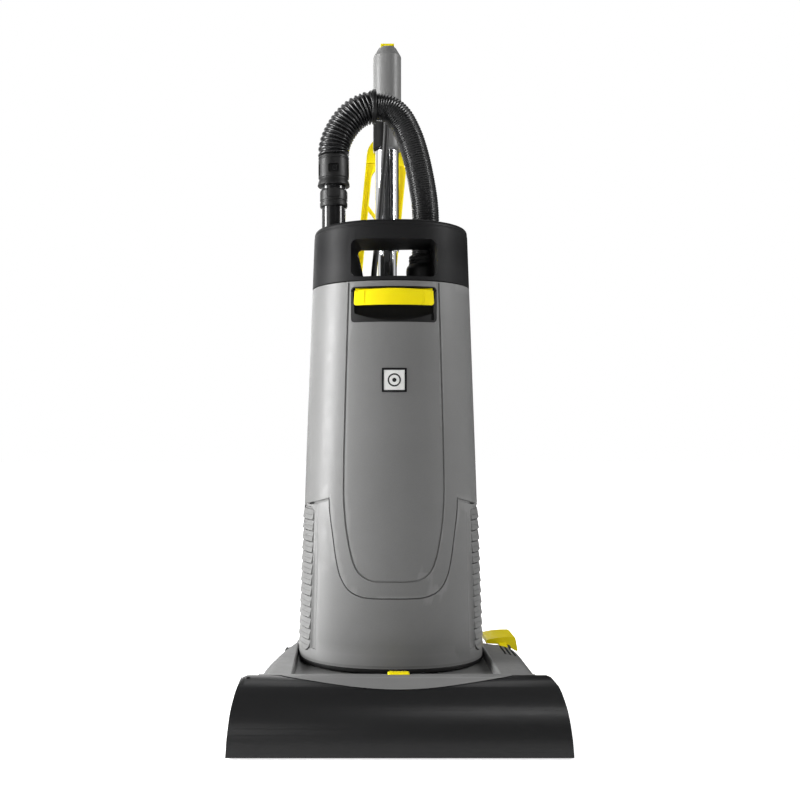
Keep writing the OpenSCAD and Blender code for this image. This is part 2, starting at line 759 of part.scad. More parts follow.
module hose_joint_ring() {
    color([0.07, 0.07, 0.07]) translate([-22, hose_y, 800]) rotate([0, 90, 0]) difference() {
        translate([0, 0, -3]) cylinder(h = 6, r = 22.4, $fn = 96);
        translate([0, 0, -4]) cylinder(h = 8, r = 21.2, $fn = 96);
    }
}

module hose_collar() {
    color([0.06, 0.06, 0.06]) translate([wand_x, hose_y, 0]) difference() {
        union() {
            translate([0, 0, 693]) cylinder(h = 8, r1 = 21.5, r2 = 19.5, $fn = 96);
            translate([0, 0, 701 - eps]) cylinder(h = 31.9, r = 20.5, $fn = 96);
        }
        translate([0, 0, 692]) cylinder(h = 33, r = 16.1, $fn = 96);
    }
}

module wand_tube() {
    color([0.08, 0.08, 0.09]) translate([wand_x, hose_y, 566]) difference() {
        cylinder(h = 156, r = 16, $fn = 96);
        translate([0, 0, -1]) cylinder(h = 158, r = 14, $fn = 96);
    }
}

module wand_ring() {
    color([0.07, 0.07, 0.07]) translate([wand_x, hose_y, 665]) difference() {
        cylinder(h = 23, r = 18.4, $fn = 96);
        translate([0, 0, -1]) cylinder(h = 25, r = 16.05, $fn = 96);
    }
}

module cord_hook() {
    color([0.12, 0.12, 0.13]) union() {
        box([-18, 142.05, 440], [18, 147, 480]);
        box([-10, 147 - eps, 452], [10, back_y, 462]);
        bar_x(-12, 12) polygon([[back_y - 6, 400], [back_y, 400], [back_y, 462], [back_y - 6, 462]]);
    }
}

module cable_glands() {
    color([0.08, 0.08, 0.08]) union() {
        translate([-21, 92, seam_z + 3.6]) cylinder(h = 18.4, r1 = 8, r2 = 6, $fn = 48);
        difference() {
            translate([40, 142, 520]) rotate([90, 0, 0]) cylinder(h = 27.1, r1 = 6, r2 = 9, $fn = 48);
            translate([40, 143, 520]) rotate([90, 0, 0]) cylinder(h = 30, r = 3.6, $fn = 48);
        }
    }
}

// ---------------------------------------------------------------- handle

module upper_tube() {
    color([0.85, 0.86, 0.88]) difference() {
        translate([0, tube_y, 625]) cylinder(h = 280, r = upper_tube_d / 2, $fn = 96);
        translate([0, tube_y, 624]) cylinder(h = 282, r = lower_tube_d / 2 + 0.4, $fn = 96);
    }
}

module grip_outline(inset) {
    r = grip_w / 2 - inset;
    union() {
        translate([0, -5]) circle(r = r, $fn = 96);
        translate([0, 5]) circle(r = r, $fn = 96);
        translate([-r, -5]) square([2 * r, 10]);
    }
}

module grip_shell() {
    color([0.5, 0.5, 0.51]) difference() {
        union() {
            translate([0, tube_y, 771]) linear_extrude(grip_z - 771 - grip_bevel) grip_outline(0);
            hull() {
                translate([0, tube_y, grip_z - grip_bevel - eps]) linear_extrude(eps) grip_outline(0);
                translate([0, tube_y, grip_z - eps]) linear_extrude(eps) grip_outline(8);
            }
            translate([-2, 92, 815]) cylinder(h = 16, r = 6.5, $fn = 48);
            translate([winder_pivot[0], winder_y - 6.1, winder_pivot[1]]) rotate([90, 0, 0])
                cylinder(h = 10, r = 11, $fn = 64);
            translate([winder_pivot[0], winder_y + 8, winder_pivot[1]]) rotate([90, 0, 0])
                cylinder(h = 20, r = 5, $fn = 64);
            translate([winder_pivot[0], winder_y + 9, winder_pivot[1]]) rotate([90, 0, 0])
                cylinder(h = 2.8, r = 8, $fn = 64);
        }
        translate([0, tube_y, 770]) cylinder(h = 135.05, r = upper_tube_d / 2 + 0.02, $fn = 96);
        box([-9.7, tube_y - 14.5, grip_z - 6], [9.7, tube_y + 14.5, grip_z + 1]);
        box([-30, tube_y - 40, 771 - eps], [-2.3, tube_y - 14.5, 814]);
        box([-6.3, 141.2, 807.7], [6.3, 150, 820.3]);
    }
}

module grip_inlay() {
    color([0.05, 0.05, 0.05]) difference() {
        intersection() {
            translate([0, tube_y, 771]) linear_extrude(42.8) grip_outline(0);
            box([-30, tube_y - 40, 770], [-2.5, tube_y - 14.7, 815]);
        }
        translate([0, tube_y, 770]) cylinder(h = 46, r = upper_tube_d / 2 + 0.1, $fn = 96);
    }
}

module power_switch() {
    color([0.95, 0.86, 0]) translate([0, tube_y, grip_z]) union() {
        bar_x(-9.4, 9.4) polygon([[-13, 1.5], [-12, 5], [-5, 8.5], [5, 9], [12, 6], [13, 1.5]]);
        rod_x(-9.4, 9.4, 0, 0, 3.5);
    }
}

module lock_button() {
    color([0.2, 0.2, 0.21]) box([-6, 143.6, 808], [6, 148.7, 820]);
}

// Closed outline with two round ends, from y0 down to y1
module loop_outline(r, y0, y1) {
    translate([0, y0]) circle(r = r, $fn = 64);
    translate([0, y1]) circle(r = r, $fn = 64);
    translate([-r, y1]) square([2 * r, y0 - y1]);
}

module cord_winder() {
    color([0.95, 0.86, 0]) translate([winder_pivot[0], winder_y, winder_pivot[1]])
        rotate([90, 0, 0]) rotate([0, 0, -winder_tilt]) translate([0, 0, -6])
            linear_extrude(12) difference() {
                loop_outline(winder_half_w, -18, -196);
                loop_outline(winder_half_w - winder_strip, -52, -196);
                circle(r = 5 + fit, $fn = 48);
            }
}

// Centre line of the switch lead, from the grip's strain relief to its gland on the deck
lead_route = [[-2, 92, 814.8], [-3, 92, 785], [-5, 92, 755], [-8, 92, 720], [-11, 92, 685],
    [-14, 92, 650], [-17, 92, 618], [-19.5, 92, 595], [-21, 92, 576.1]];

module switch_lead() {
    color([0.05, 0.05, 0.05]) sweep_tube(lead_route, 4, 8, [0, 1, 0]);
}

head_base();
head_top_cover();
brush_cover();
bumper_strip();
sole_plate();
brush_roller();
brush_bristles();
roller_bearings();
drive_belt();
brush_motor();
motor_pulley();
suction_duct();
rear_wheel_left();
rear_wheel_right();
wheel_axles();
front_roller_left();
front_roller_right();
front_roller_pins();
foot_pedal();
pedal_pin();
pedal_spring();
cover_release_button();
release_spring();
pivot_pins();
base_seal();
rear_housing();
lower_front_panel();
bag_door();
door_badge();
latch_lever();
latch_bezel();
latch_pin();
top_cap();
filter_bag();
bag_holder();
suction_elbow();
fan_motor();
fan_impeller();
motor_filter();
exhaust_filter();
vent_grille_left();
vent_grille_right();
lower_tube();
tube_clamp();
hose_cuff();
hose_fine();
hose_coarse();
hose_joint_ring();
hose_collar();
wand_tube();
wand_ring();
cord_hook();
cable_glands();
upper_tube();
grip_shell();
grip_inlay();
power_switch();
lock_button();
cord_winder();
switch_lead();
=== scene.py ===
"""Looks of the commercial upright vacuum cleaner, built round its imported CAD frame.

Lengths are in millimetres up to mesh_object(), which turns them into metres.
"""
import json
import math
import random

import bmesh
import bpy
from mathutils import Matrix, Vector, noise

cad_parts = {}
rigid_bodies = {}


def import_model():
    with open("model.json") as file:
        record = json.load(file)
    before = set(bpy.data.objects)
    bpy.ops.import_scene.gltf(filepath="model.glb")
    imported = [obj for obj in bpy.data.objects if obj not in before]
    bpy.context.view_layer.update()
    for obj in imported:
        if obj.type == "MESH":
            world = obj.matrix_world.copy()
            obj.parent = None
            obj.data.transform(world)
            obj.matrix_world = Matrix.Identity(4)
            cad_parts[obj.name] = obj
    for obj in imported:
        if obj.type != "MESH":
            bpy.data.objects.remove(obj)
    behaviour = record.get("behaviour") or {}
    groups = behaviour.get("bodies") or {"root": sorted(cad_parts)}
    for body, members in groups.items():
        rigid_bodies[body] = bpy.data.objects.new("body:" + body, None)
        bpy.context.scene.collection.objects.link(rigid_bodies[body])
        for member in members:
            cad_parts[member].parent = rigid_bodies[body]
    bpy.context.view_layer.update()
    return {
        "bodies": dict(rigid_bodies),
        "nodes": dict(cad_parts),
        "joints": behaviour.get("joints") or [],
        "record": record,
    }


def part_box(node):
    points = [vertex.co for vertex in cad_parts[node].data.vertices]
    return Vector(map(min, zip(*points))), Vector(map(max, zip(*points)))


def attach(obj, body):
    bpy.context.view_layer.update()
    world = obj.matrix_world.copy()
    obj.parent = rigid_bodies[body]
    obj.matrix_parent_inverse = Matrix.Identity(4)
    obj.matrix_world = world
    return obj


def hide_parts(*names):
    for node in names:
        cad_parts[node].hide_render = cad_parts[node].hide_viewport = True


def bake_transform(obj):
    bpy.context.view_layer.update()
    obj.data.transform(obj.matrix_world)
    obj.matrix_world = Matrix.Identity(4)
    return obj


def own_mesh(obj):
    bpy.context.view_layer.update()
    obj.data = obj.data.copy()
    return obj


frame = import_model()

MM = 0.001
DRAWN = random.Random(7)

# ------------------------------------------------------------------ sizes, from the frame


def box_mm(node):
    """Lowest and highest corner of a CAD node, in millimetres."""
    low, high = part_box(node)
    return low / MM, high / MM


COVER_LOW, COVER_HIGH = box_mm("brush_cover")
CAP_LOW, CAP_HIGH = box_mm("top_cap")
SEAL_LOW, SEAL_HIGH = box_mm("base_seal")
GRIP_LOW, GRIP_HIGH = box_mm("grip_shell")

HEAD_W = COVER_HIGH.x - COVER_LOW.x
FRONT_Y = COVER_LOW.y
COVER_H = COVER_HIGH.z
COVER_GAP = COVER_LOW.z
COVER_RUN = 55  # depth of the front cover, from its face to its crest
CREST_Y = FRONT_Y + COVER_RUN
TOP_HALF = HEAD_W / 2 - 9.5
CUT_HALF = 165  # the dip in the cover's top edge
CUT_DEPTH = 10.4
CLIP_SHARE = 0.9985  # keeps the end clips just inside the cover's outline

BASE_Z = SEAL_HIGH.z
SEAM_Z = CAP_LOW.z
CAP_Z = CAP_HIGH.z
BASE_HALF = SEAL_HIGH.x
SEAM_HALF = CAP_HIGH.x
BODY_FRONT = CAP_LOW.y
BODY_SIDE = 28  # where the body is widest
BODY_BACK = CAP_HIGH.y
FRONT_POWER = 2.2  # roundness of the body's section: 2 is an ellipse, more is squarer
BACK_POWER = 4
WALL = 3

ARM_X = 123.5  # inner faces of the head's two arms
FENDER_Z = 77
RECESS_Z = 64
TUBE_Y = 123
HOSE_Y = 25
LEAD_Y = 92
WAND_X = -76
PORT_X = 46
FAN_AXIS = (0, -4, 0)
MOTOR_AXIS = (0, -30, 36)
BRUSH_AXIS = (0, -133, 33)
TUBE_AXIS = (0, TUBE_Y, 0)
WAND_AXIS = (WAND_X, HOSE_Y, 0)
PIVOT = (0, 60, 60)
WINDER_PIVOT = (3, 155, 790)

BODY_POINTS = 160  # how finely the curved shapes are drawn
LEVEL_STEP = 14
CURVE_STEP = 3
SKIN_STEPS = 36
EDGE_ANGLE = 38  # degrees; sharper edges are rounded
BRISTLE_CORNERS = (0, 2.094, 4.189)


def half_width(z):
    """Half width of the body at height z."""
    return BASE_HALF + (SEAM_HALF - BASE_HALF) * (z - BASE_Z) / (SEAM_Z - BASE_Z)


def signed_power(value, power):
    return math.copysign(abs(value) ** power, value)


def front_y_at(x, z):
    """Depth of the body's front surface at x and z."""
    share = min(1, abs(x) / half_width(z))
    return BODY_SIDE - (BODY_SIDE - BODY_FRONT) * (1 - share ** FRONT_POWER) ** (1 / FRONT_POWER)


# ------------------------------------------------------------------ mesh helpers


def linked(name, data):
    """A new object in the scene, holding data."""
    made = bpy.data.objects.new(name, data)
    bpy.context.scene.collection.objects.link(made)
    return made


def mesh_object(name, points, faces):
    """A mesh object from points in millimetres, with its normals turned outwards."""
    mesh = bpy.data.meshes.new(name)
    mesh.from_pydata([Vector(p) * MM for p in points], [], faces)
    edit = bmesh.new()
    edit.from_mesh(mesh)
    bmesh.ops.remove_doubles(edit, verts=edit.verts, dist=1e-7)
    bmesh.ops.recalc_face_normals(edit, faces=edit.faces)
    edit.to_mesh(mesh)
    edit.free()
    return linked(name, mesh)


def bake(piece):
    """Turns a piece's modifiers into its mesh."""
    graph = bpy.context.evaluated_depsgraph_get()
    mesh = bpy.data.meshes.new_from_object(piece.evaluated_get(graph))
    piece.modifiers.clear()
    piece.data = mesh
    return piece


def combine(piece, others, operation):
    """Cuts others from a piece, joins them to it or keeps what they share, and removes them."""
    for other in others:
        step = piece.modifiers.new("combine", "BOOLEAN")
        step.operation = operation
        step.solver = "EXACT"
        step.object = other
    bake(piece)
    for other in others:
        bpy.data.objects.remove(other)
    return piece


def cut(piece, *others):
    return combine(piece, others, "DIFFERENCE")


def join(piece, *others):
    return combine(piece, others, "UNION")


def keep(piece, *others):
    return combine(piece, others, "INTERSECT")


def merged(name, pieces):
    """Several meshes as one object, without joining their surfaces."""
    edit = bmesh.new()
    for piece in pieces:
        edit.from_mesh(piece.data)
    mesh = bpy.data.meshes.new(name)
    edit.to_mesh(mesh)
    edit.free()
    for piece in pieces:
        bpy.data.objects.remove(piece)
    return linked(name, mesh)


def bevel(piece, width, segments, angle):
    """Adds a modifier that rounds the edges sharper than angle."""
    step = piece.modifiers.new("round", "BEVEL")
    step.width = width * MM
    step.segments = segments
    step.limit_method = "ANGLE"
    step.angle_limit = math.radians(angle)
    return step


def rounded(piece, width, segments=2):
    """Rounds a piece's edges and evens out the shading beside them."""
    bevel(piece, width, segments, EDGE_ANGLE).miter_outer = "MITER_ARC"
    return shaded(bake(piece))


def shaded(piece, angle=35):
    """Smooth shading with real edges kept sharp."""
    piece.data.shade_smooth()
    piece.data.set_sharp_from_angle(angle=math.radians(angle))
    step = piece.modifiers.new("even", "WEIGHTED_NORMAL")
    step.keep_sharp = True
    return bake(piece)


def loft(name, sections):
    """A closed solid through sections of equally many points."""
    count = len(sections[0])
    faces = []
    for row in range(len(sections) - 1):
        for i in range(count):
            a, b = row * count + i, row * count + (i + 1) % count
            faces.append((a, b, b + count, a + count))
    faces.append(tuple(range(count))[::-1])
    last = (len(sections) - 1) * count
    faces.append(tuple(range(last, last + count)))
    return mesh_object(name, [p for section in sections for p in section], faces)


def shell(name, outer, inner):
    """A closed wall between two stacks of sections of equally many points."""
    count = len(outer[0])
    rows = list(outer) + list(reversed(inner))
    faces = []
    for row in range(len(rows)):
        for i in range(count):
            a, b = row * count + i, row * count + (i + 1) % count
            c, d = ((row + 1) % len(rows)) * count + (i + 1) % count, ((row + 1) % len(rows)) * count + i
            faces.append((a, b, c, d))
    return mesh_object(name, [p for row in rows for p in row], faces)


def prism(name, outline, low, high, axis="y"):
    """A solid from a flat outline: (x, z) pushed along y, (x, y) along z or (y, z) along x."""
    place = {"y": lambda p, d: (p[0], d, p[1]), "z": lambda p, d: (p[0], p[1], d),
             "x": lambda p, d: (d, p[0], p[1])}[axis]
    return loft(name, [[place(p, d) for p in outline] for d in (low, high)])


def block(name, low, high):
    return prism(name, [(low[0], low[2]), (high[0], low[2]), (high[0], high[2]), (low[0], high[2])],
                 low[1], high[1])


def arc(cx, cy, radius, start, stop, steps):
    """Points on an arc, angles in degrees."""
    angles = [math.radians(start + (stop - start) * i / steps) for i in range(steps + 1)]
    return [(cx + radius * math.cos(a), cy + radius * math.sin(a)) for a in angles]


def round_rect(x0, z0, x1, z1, radius, steps=6):
    """A rectangle's outline with round corners."""
    return (arc(x1 - radius, z0 + radius, radius, -90, 0, steps)
            + arc(x1 - radius, z1 - radius, radius, 0, 90, steps)
            + arc(x0 + radius, z1 - radius, radius, 90, 180, steps)
            + arc(x0 + radius, z0 + radius, radius, 180, 270, steps))


def turned(name, profile, axis, base, sides=64, closed=False):
    """A solid of revolution from (radius, distance) points, about an axis through base.

    An open profile is closed on the axis; a closed one is a ring."""
    points, faces = [], []
    turn = {"x": lambda r, a, d: (d, r * math.cos(a), r * math.sin(a)),
            "y": lambda r, a, d: (r * math.sin(a), d, r * math.cos(a)),
            "z": lambda r, a, d: (r * math.cos(a), r * math.sin(a), d)}[axis]
    for radius, distance in profile:
        for i in range(sides):
            points.append(Vector(turn(radius, 2 * math.pi * i / sides, distance)) + Vector(base))
    rows = len(profile)
    for row in range(rows if closed else rows - 1):
        for i in range(sides):
            a, b = row * sides + i, row * sides + (i + 1) % sides
            nxt = ((row + 1) % rows) * sides
            faces.append((a, b, nxt + (i + 1) % sides, nxt + i))
    if not closed:
        faces.append(tuple(range(sides)))
        faces.append(tuple(range((rows - 1) * sides, rows * sides)))
    return mesh_object(name, points, faces)


def rod(name, radius, low, high, axis, base, sides=64):
    """A plain cylinder about an axis through base."""
    return turned(name, [(radius, low), (radius, high)], axis, base, sides)


def smooth_path(points, step):
    """A Catmull-Rom curve through points, with a point about every step millimetres."""
    points = [Vector(p) for p in points]
    ends = [2 * points[0] - points[1]] + points + [2 * points[-1] - points[-2]]
    dense = []
    for a, b, c, d in zip(ends, ends[1:], ends[2:], ends[3:]):
        pieces = max(2, int((c - b).length / 0.5))
        for i in range(pieces):
            t = i / pieces
            dense.append(0.5 * (2 * b + (c - a) * t + (2 * a - 5 * b + 4 * c - d) * t * t
                                + (3 * b - a - 3 * c + d) * t ** 3))
    dense.append(points[-1])
    return even_path(dense, step)


def even_path(dense, step):
    """The same line with points evenly apart."""
    reach = [0]
    for a, b in zip(dense, dense[1:]):
        reach.append(reach[-1] + (b - a).length)
    count = max(2, round(reach[-1] / step))
    result, k = [], 0
    for i in range(count + 1):
        goal = reach[-1] * i / count
        while k < len(reach) - 2 and reach[k + 1] < goal:
            k += 1
        span = reach[k + 1] - reach[k]
        result.append(dense[k].lerp(dense[k + 1], 0 if span == 0 else (goal - reach[k]) / span))
    return result


def path_length(path):
    return sum((b - a).length for a, b in zip(path, path[1:]))


def sweep(name, path, radius, sides=24, flat=(0, 1, 0)):
    """A tube along a path; radius is a number or a function of the distance along it."""
    flat = Vector(flat)
    size = radius if callable(radius) else lambda distance: radius
    sections, reach = [], 0
    for i, p in enumerate(path):
        before, after = path[max(i - 1, 0)], path[min(i + 1, len(path) - 1)]
        along = (after - before).normalized()
        side = flat.cross(along).normalized()
        up = along.cross(side)
        if i:
            reach += (p - path[i - 1]).length
        r = size(reach)
        sections.append([p + r * (math.cos(a) * side + math.sin(a) * up)
                         for a in [2 * math.pi * k / sides for k in range(sides)]])
    return loft(name, sections)


def body_section(z, inset=0):
    """A closed body section at height z, with its points evenly apart."""
    dense, steps = [], 9 * BODY_POINTS
    for i in range(steps):
        a = 2 * math.pi * (i + 0.5) / steps
        power = 2 / FRONT_POWER if math.sin(a) < 0 else 2 / BACK_POWER
        run = (BODY_SIDE - BODY_FRONT if math.sin(a) < 0 else BODY_BACK - BODY_SIDE) - inset
        dense.append(Vector(((half_width(z) - inset) * signed_power(math.cos(a), power),
                             BODY_SIDE + run * signed_power(math.sin(a), power), z)))
    dense.append(dense[0])
    return even_path(dense, path_length(dense) / BODY_POINTS)[:BODY_POINTS]


def body_solid(name, levels):
    """The body's form through (height, inset) levels."""
    return loft(name, [body_section(z, inset) for z, inset in levels])


def body_wall(name, levels, thickness=WALL):
    return shell(name, [body_section(z, inset) for z, inset in levels],
                 [body_section(z, inset + thickness) for z, inset in levels])


def levels(z0, z1):
    """Even heights from z0 to z1, each with no inset."""
    count = max(1, round((z1 - z0) / LEVEL_STEP))
    return [(z0 + (z1 - z0) * i / count, 0) for i in range(count + 1)]


# ------------------------------------------------------------------ materials


def feed(tree, node, inputs):
    """Fills a node's inputs: a socket is linked, anything else is the input's value."""
    for key, value in inputs.items():
        if isinstance(value, bpy.types.NodeSocket):
            tree.links.new(value, node.inputs[key])
        else:
            node.inputs[key].default_value = value
    return node


def add(tree, kind, inputs):
    return feed(tree, tree.nodes.new("ShaderNode" + kind), inputs)


def maths(tree, operation, first, second):
    """The result of an operation on two values or sockets."""
    made = add(tree, "Math", {0: first, 1: second})
    made.operation = operation
    return made.outputs[0]


def node_tree(name):
    material = bpy.data.materials.new(name)
    material.use_nodes = True
    tree = material.node_tree
    shader = tree.nodes["Principled BSDF"]
    where = add(tree, "TexCoord", {}).outputs["Object"]
    return material, tree, shader, where


def noise_of(tree, where, scale, detail=4.0, rough=0.6):
    return add(tree, "TexNoise", {"Scale": scale, "Detail": detail, "Roughness": rough,
                                  "Vector": where}).outputs["Fac"]


def ramp(tree, value, low, high, start=0.0, stop=1.0):
    """A value stretched from start..stop to low..high."""
    return add(tree, "MapRange", {"From Min": start, "From Max": stop, "To Min": low, "To Max": high,
                                  "Value": value}).outputs["Result"]


def blend_colour(tree, share, first, second):
    """A mix of two colours, each a tuple or a socket."""
    made = tree.nodes.new("ShaderNodeMix")
    made.data_type = "RGBA"
    first, second = ((*c, 1) if isinstance(c, tuple) else c for c in (first, second))
    return feed(tree, made, {0: share, 6: first, 7: second}).outputs[2]


def raised(tree, shader, height, strength, depth):
    made = add(tree, "Bump", {"Strength": strength, "Distance": depth * MM, "Height": height})
    feed(tree, shader, {"Normal": made.outputs["Normal"]})


def painted_edge_highlight(tree):
    """Near 1 along outward edges, 0 elsewhere: where the painted edge highlight goes."""
    pointed = add(tree, "NewGeometry", {}).outputs["Pointiness"]
    return ramp(tree, pointed, 0, 1, 0.53, 0.62)


def shade_of(colour, factor):
    return tuple(min(1.0, c * factor) for c in colour)


def moulded(name, colour, rough=0.42, grain=1800, bump=0.25, edge_highlight=0.25, patch=0.10, gloss=0.5,
            uneven=0.08):
    """Moulded plastic: fine grain, uneven tone, and a painted highlight that lightens outward edges."""
    material, tree, shader, where = node_tree(name)
    fine = noise_of(tree, where, grain, 3)
    broad = noise_of(tree, where, 9, 5)
    marks = noise_of(tree, where, 60, 6, 0.75)
    tone = blend_colour(tree, ramp(tree, broad, 0, 1, 0.3, 0.7),
                        shade_of(colour, 1 - patch), shade_of(colour, 1 + patch))
    speck = blend_colour(tree, ramp(tree, fine, 0, 0.35, 0.45, 0.75), tone, shade_of(colour, 1.35))
    # Painted highlight: outward edges are mixed towards a lighter colour.
    edge = maths(tree, "MULTIPLY", painted_edge_highlight(tree), edge_highlight)
    feed(tree, shader, {
        "Base Color": blend_colour(tree, edge, speck, tuple(min(1.0, c * 1.5 + 0.06) for c in colour)),
        "Roughness": ramp(tree, marks, rough - uneven, rough + uneven, 0.3, 0.7),
        "Specular IOR Level": gloss})
    raised(tree, shader, fine, bump, 0.05)
    return material


def metal(name, colour, rough=0.12, streak=(4, 4, 900)):
    """Drawn or plated metal with fine streaks along one direction."""
    material, tree, shader, where = node_tree(name)
    stretch = add(tree, "Mapping", {"Scale": streak, "Vector": where})
    lines = noise_of(tree, stretch.outputs["Vector"], 1.0, 4)
    smudge = noise_of(tree, where, 40, 5)
    feed(tree, shader, {"Base Color": blend_colour(tree, smudge, shade_of(colour, 0.93), colour),
                        "Roughness": ramp(tree, smudge, rough * 0.7, rough * 1.6, 0.3, 0.7),
                        "Metallic": 1})
    raised(tree, shader, lines, 0.06, 0.02)
    return material


def fabric(name, colour, pitch=1400):
    """Pressed fleece or paper: crossed fibres, soft and matt."""
    material, tree, shader, where = node_tree(name)
    fibres = noise_of(tree, where, pitch, 6, 0.8)
    folds = noise_of(tree, where, 30, 4)
    tone = blend_colour(tree, ramp(tree, folds, 0, 1, 0.3, 0.7), shade_of(colour, 0.82), colour)
    frayed = blend_colour(tree, ramp(tree, fibres, 0, 0.4, 0.5, 0.8), tone, shade_of(colour, 0.7))
    feed(tree, shader, {"Base Color": frayed, "Roughness": 0.95, "Sheen Weight": 0.3})
    raised(tree, shader, fibres, 0.6, 0.15)
    return material


GREY = moulded("shell_grey", (0.176, 0.176, 0.174), rough=0.40, grain=1500, bump=0.22,
               patch=0.05, gloss=0.34)
BLACK = moulded("cover_black", (0.010, 0.010, 0.0105), rough=0.30, grain=2200, bump=0.05,
                edge_highlight=0.06, patch=0.05, gloss=0.40, uneven=0.015)
CAP_BLACK = moulded("cap_black", (0.009, 0.009, 0.0095), rough=0.46, grain=2000, bump=0.12,
                    edge_highlight=0.08, gloss=0.10, uneven=0.03)
DEEP_BLACK = moulded("deep_black", (0.006, 0.006, 0.006), rough=0.45, edge_highlight=0.06, gloss=0.35)
MATT_BLACK = moulded("matt_black", (0.006, 0.006, 0.006), rough=0.6, edge_highlight=0.04, gloss=0.06)
YELLOW = moulded("yellow_plastic", (0.98, 0.80, 0.001), rough=0.38, bump=0.10, edge_highlight=0.03,
                 patch=0.02, gloss=0.3)
RUBBER = moulded("rubber", (0.010, 0.010, 0.010), rough=0.55, grain=900, bump=0.3, edge_highlight=0.10)
HOSE = moulded("hose_black", (0.009, 0.009, 0.0095), rough=0.28, grain=2600, bump=0.04, edge_highlight=0.04,
               uneven=0.02)
WAND = moulded("wand_black", (0.009, 0.009, 0.0095), rough=0.18, grain=2600, bump=0.04, edge_highlight=0.06,
               uneven=0.02)
INNER = moulded("inner_plastic", (0.055, 0.055, 0.058), rough=0.5)
HOLDER_BLUE = moulded("holder_blue", (0.05, 0.14, 0.32), rough=0.45)
WHITE = moulded("label_white", (0.82, 0.82, 0.80), rough=0.3, bump=0.05, edge_highlight=0.0, patch=0.03)
BRISTLE = moulded("bristle", (0.70, 0.56, 0.05), rough=0.55, grain=3000, bump=0.5)
CHROME = metal("chrome", (0.86, 0.87, 0.89), rough=0.07)
BLACKENED = metal("blackened_steel", (0.03, 0.03, 0.032), rough=0.4, streak=(300, 300, 300))
ZINC = metal("zinc_steel", (0.60, 0.61, 0.62), rough=0.28, streak=(300, 300, 300))
MOTOR = metal("motor_metal", (0.42, 0.43, 0.45), rough=0.35, streak=(60, 60, 900))
FLEECE = fabric("bag_fleece", (0.80, 0.79, 0.75))
FILTER = fabric("filter_medium", (0.72, 0.71, 0.66), 900)


def paint(piece, material):
    piece.data.materials.clear()
    piece.data.materials.append(material)


def dress(piece, material, body, *nodes, slot=None):
    """Gives a piece its material and its body, and hides the CAD nodes it stands for; slot is not used."""
    paint(piece, material)
    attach(piece, body)
    if nodes:
        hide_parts(*nodes)


# ------------------------------------------------------------------ camera, lights, floor


def place_camera():
    """The photograph's view: level, a little left of the middle."""
    data = bpy.data.cameras.new("camera")
    data.sensor_width = 36
    data.lens = 40.37
    data.shift_x = 0.0696
    data.shift_y = 0.0375
    camera = linked("camera", data)
    camera.location = (-0.06184, -1.175, 0.368)
    camera.rotation_euler = (math.radians(90), 0, 0)
    bpy.context.scene.camera = camera
    bpy.context.scene.view_settings.view_transform = "Standard"


def area_light(name, place, target, size, power):
    data = bpy.data.lights.new(name, "AREA")
    data.shape = "RECTANGLE"
    data.size, data.size_y = size
    data.energy = power
    light = linked(name, data)
    light.location = place
    light.rotation_euler = (Vector(target) - Vector(place)).to_track_quat("-Z", "Y").to_euler()


def place_lights():
    area_light("key", (-2.15, -0.27, 0.62), (0, 0, 0.42), (0.6, 2.2), 122)
    area_light("strip", (-1.5, -1.3, 0.95), (0, 0, 0.6), (0.1, 1.5), 2)
    area_light("rim", (1.7, -0.5, 1.4), (0, 0, 0.62), (0.4, 0.8), 24)
    area_light("front_high", (0.62, -2.0, 1.6), (0.1, -0.16, 0.05), (0.7, 0.2), 4.2)
    area_light("front_low", (-0.5, -2.0, 0.52), (-0.1, -0.16, 0.03), (0.5, 0.35), 1.6)
    area_light("top", (0, 1.1, 2.7), (0, 0.1, 0), (1.6, 1.2), 10)
    area_light("back", (-0.6, 2.4, 1.3), (0, 0, 0.4), (1.8, 1.6), 16)
    world = bpy.data.worlds.new("studio")
    bpy.context.scene.world = world
    world.use_nodes = True
    tree = world.node_tree
    seen = feed(tree, tree.nodes["Background"], {"Color": (1, 1, 1, 1), "Strength": 1.0})
    lit = add(tree, "Background", {"Color": (0.97, 0.98, 1, 1), "Strength": 0.055})
    split = add(tree, "SeparateXYZ", {0: add(tree, "TexCoord", {}).outputs["Generated"]})
    left = ramp(tree, split.outputs["X"], 0.9, 0.04, -0.75, -0.45)
    right = ramp(tree, split.outputs["X"], 0.0, 0.7, 0.80, 0.95)
    mirrored_room = add(tree, "Background", {"Strength": maths(tree, "ADD", left, right)})
    ray = add(tree, "LightPath", {})
    glossy = add(tree, "MixShader", {0: ray.outputs["Is Glossy Ray"], 1: lit.outputs[0],
                                     2: mirrored_room.outputs[0]})
    camera = add(tree, "MixShader", {0: ray.outputs["Is Camera Ray"], 1: glossy.outputs[0],
                                     2: seen.outputs[0]})
    feed(tree, tree.nodes["World Output"], {"Surface": camera.outputs[0]})


def place_floor():
    """A white paper floor with a painted glow that only the camera sees, weaker near the object."""
    reach = 9000
    floor = mesh_object("floor", [(-reach, -reach, 0), (reach, -reach, 0), (reach, reach, 0),
                                  (-reach, reach, 0)], [(0, 1, 2, 3)])
    material, tree, shader, where = node_tree("floor_paper")
    grain = noise_of(tree, where, 3)
    ray = add(tree, "LightPath", {}).outputs["Is Camera Ray"]
    away = add(tree, "VectorMath", {0: where})
    away.operation = "LENGTH"
    # Painted glow for camera rays: 0.72 near the middle, rising to 1.0 beyond 0.9 m, so shade near the
    # object still shows.
    painted_glow = maths(tree, "MULTIPLY", ray, ramp(tree, away.outputs["Value"], 0.72, 1.0, 0.25, 0.9))
    feed(tree, shader, {"Base Color": blend_colour(tree, grain, (0.93, 0.93, 0.93), (0.96, 0.96, 0.96)),
                        "Emission Color": (1, 1, 1, 1), "Emission Strength": painted_glow, "Roughness": 0.9,
                        "Specular IOR Level": 0.1})
    paint(floor, material)


# ------------------------------------------------------------------ hose and switch lead

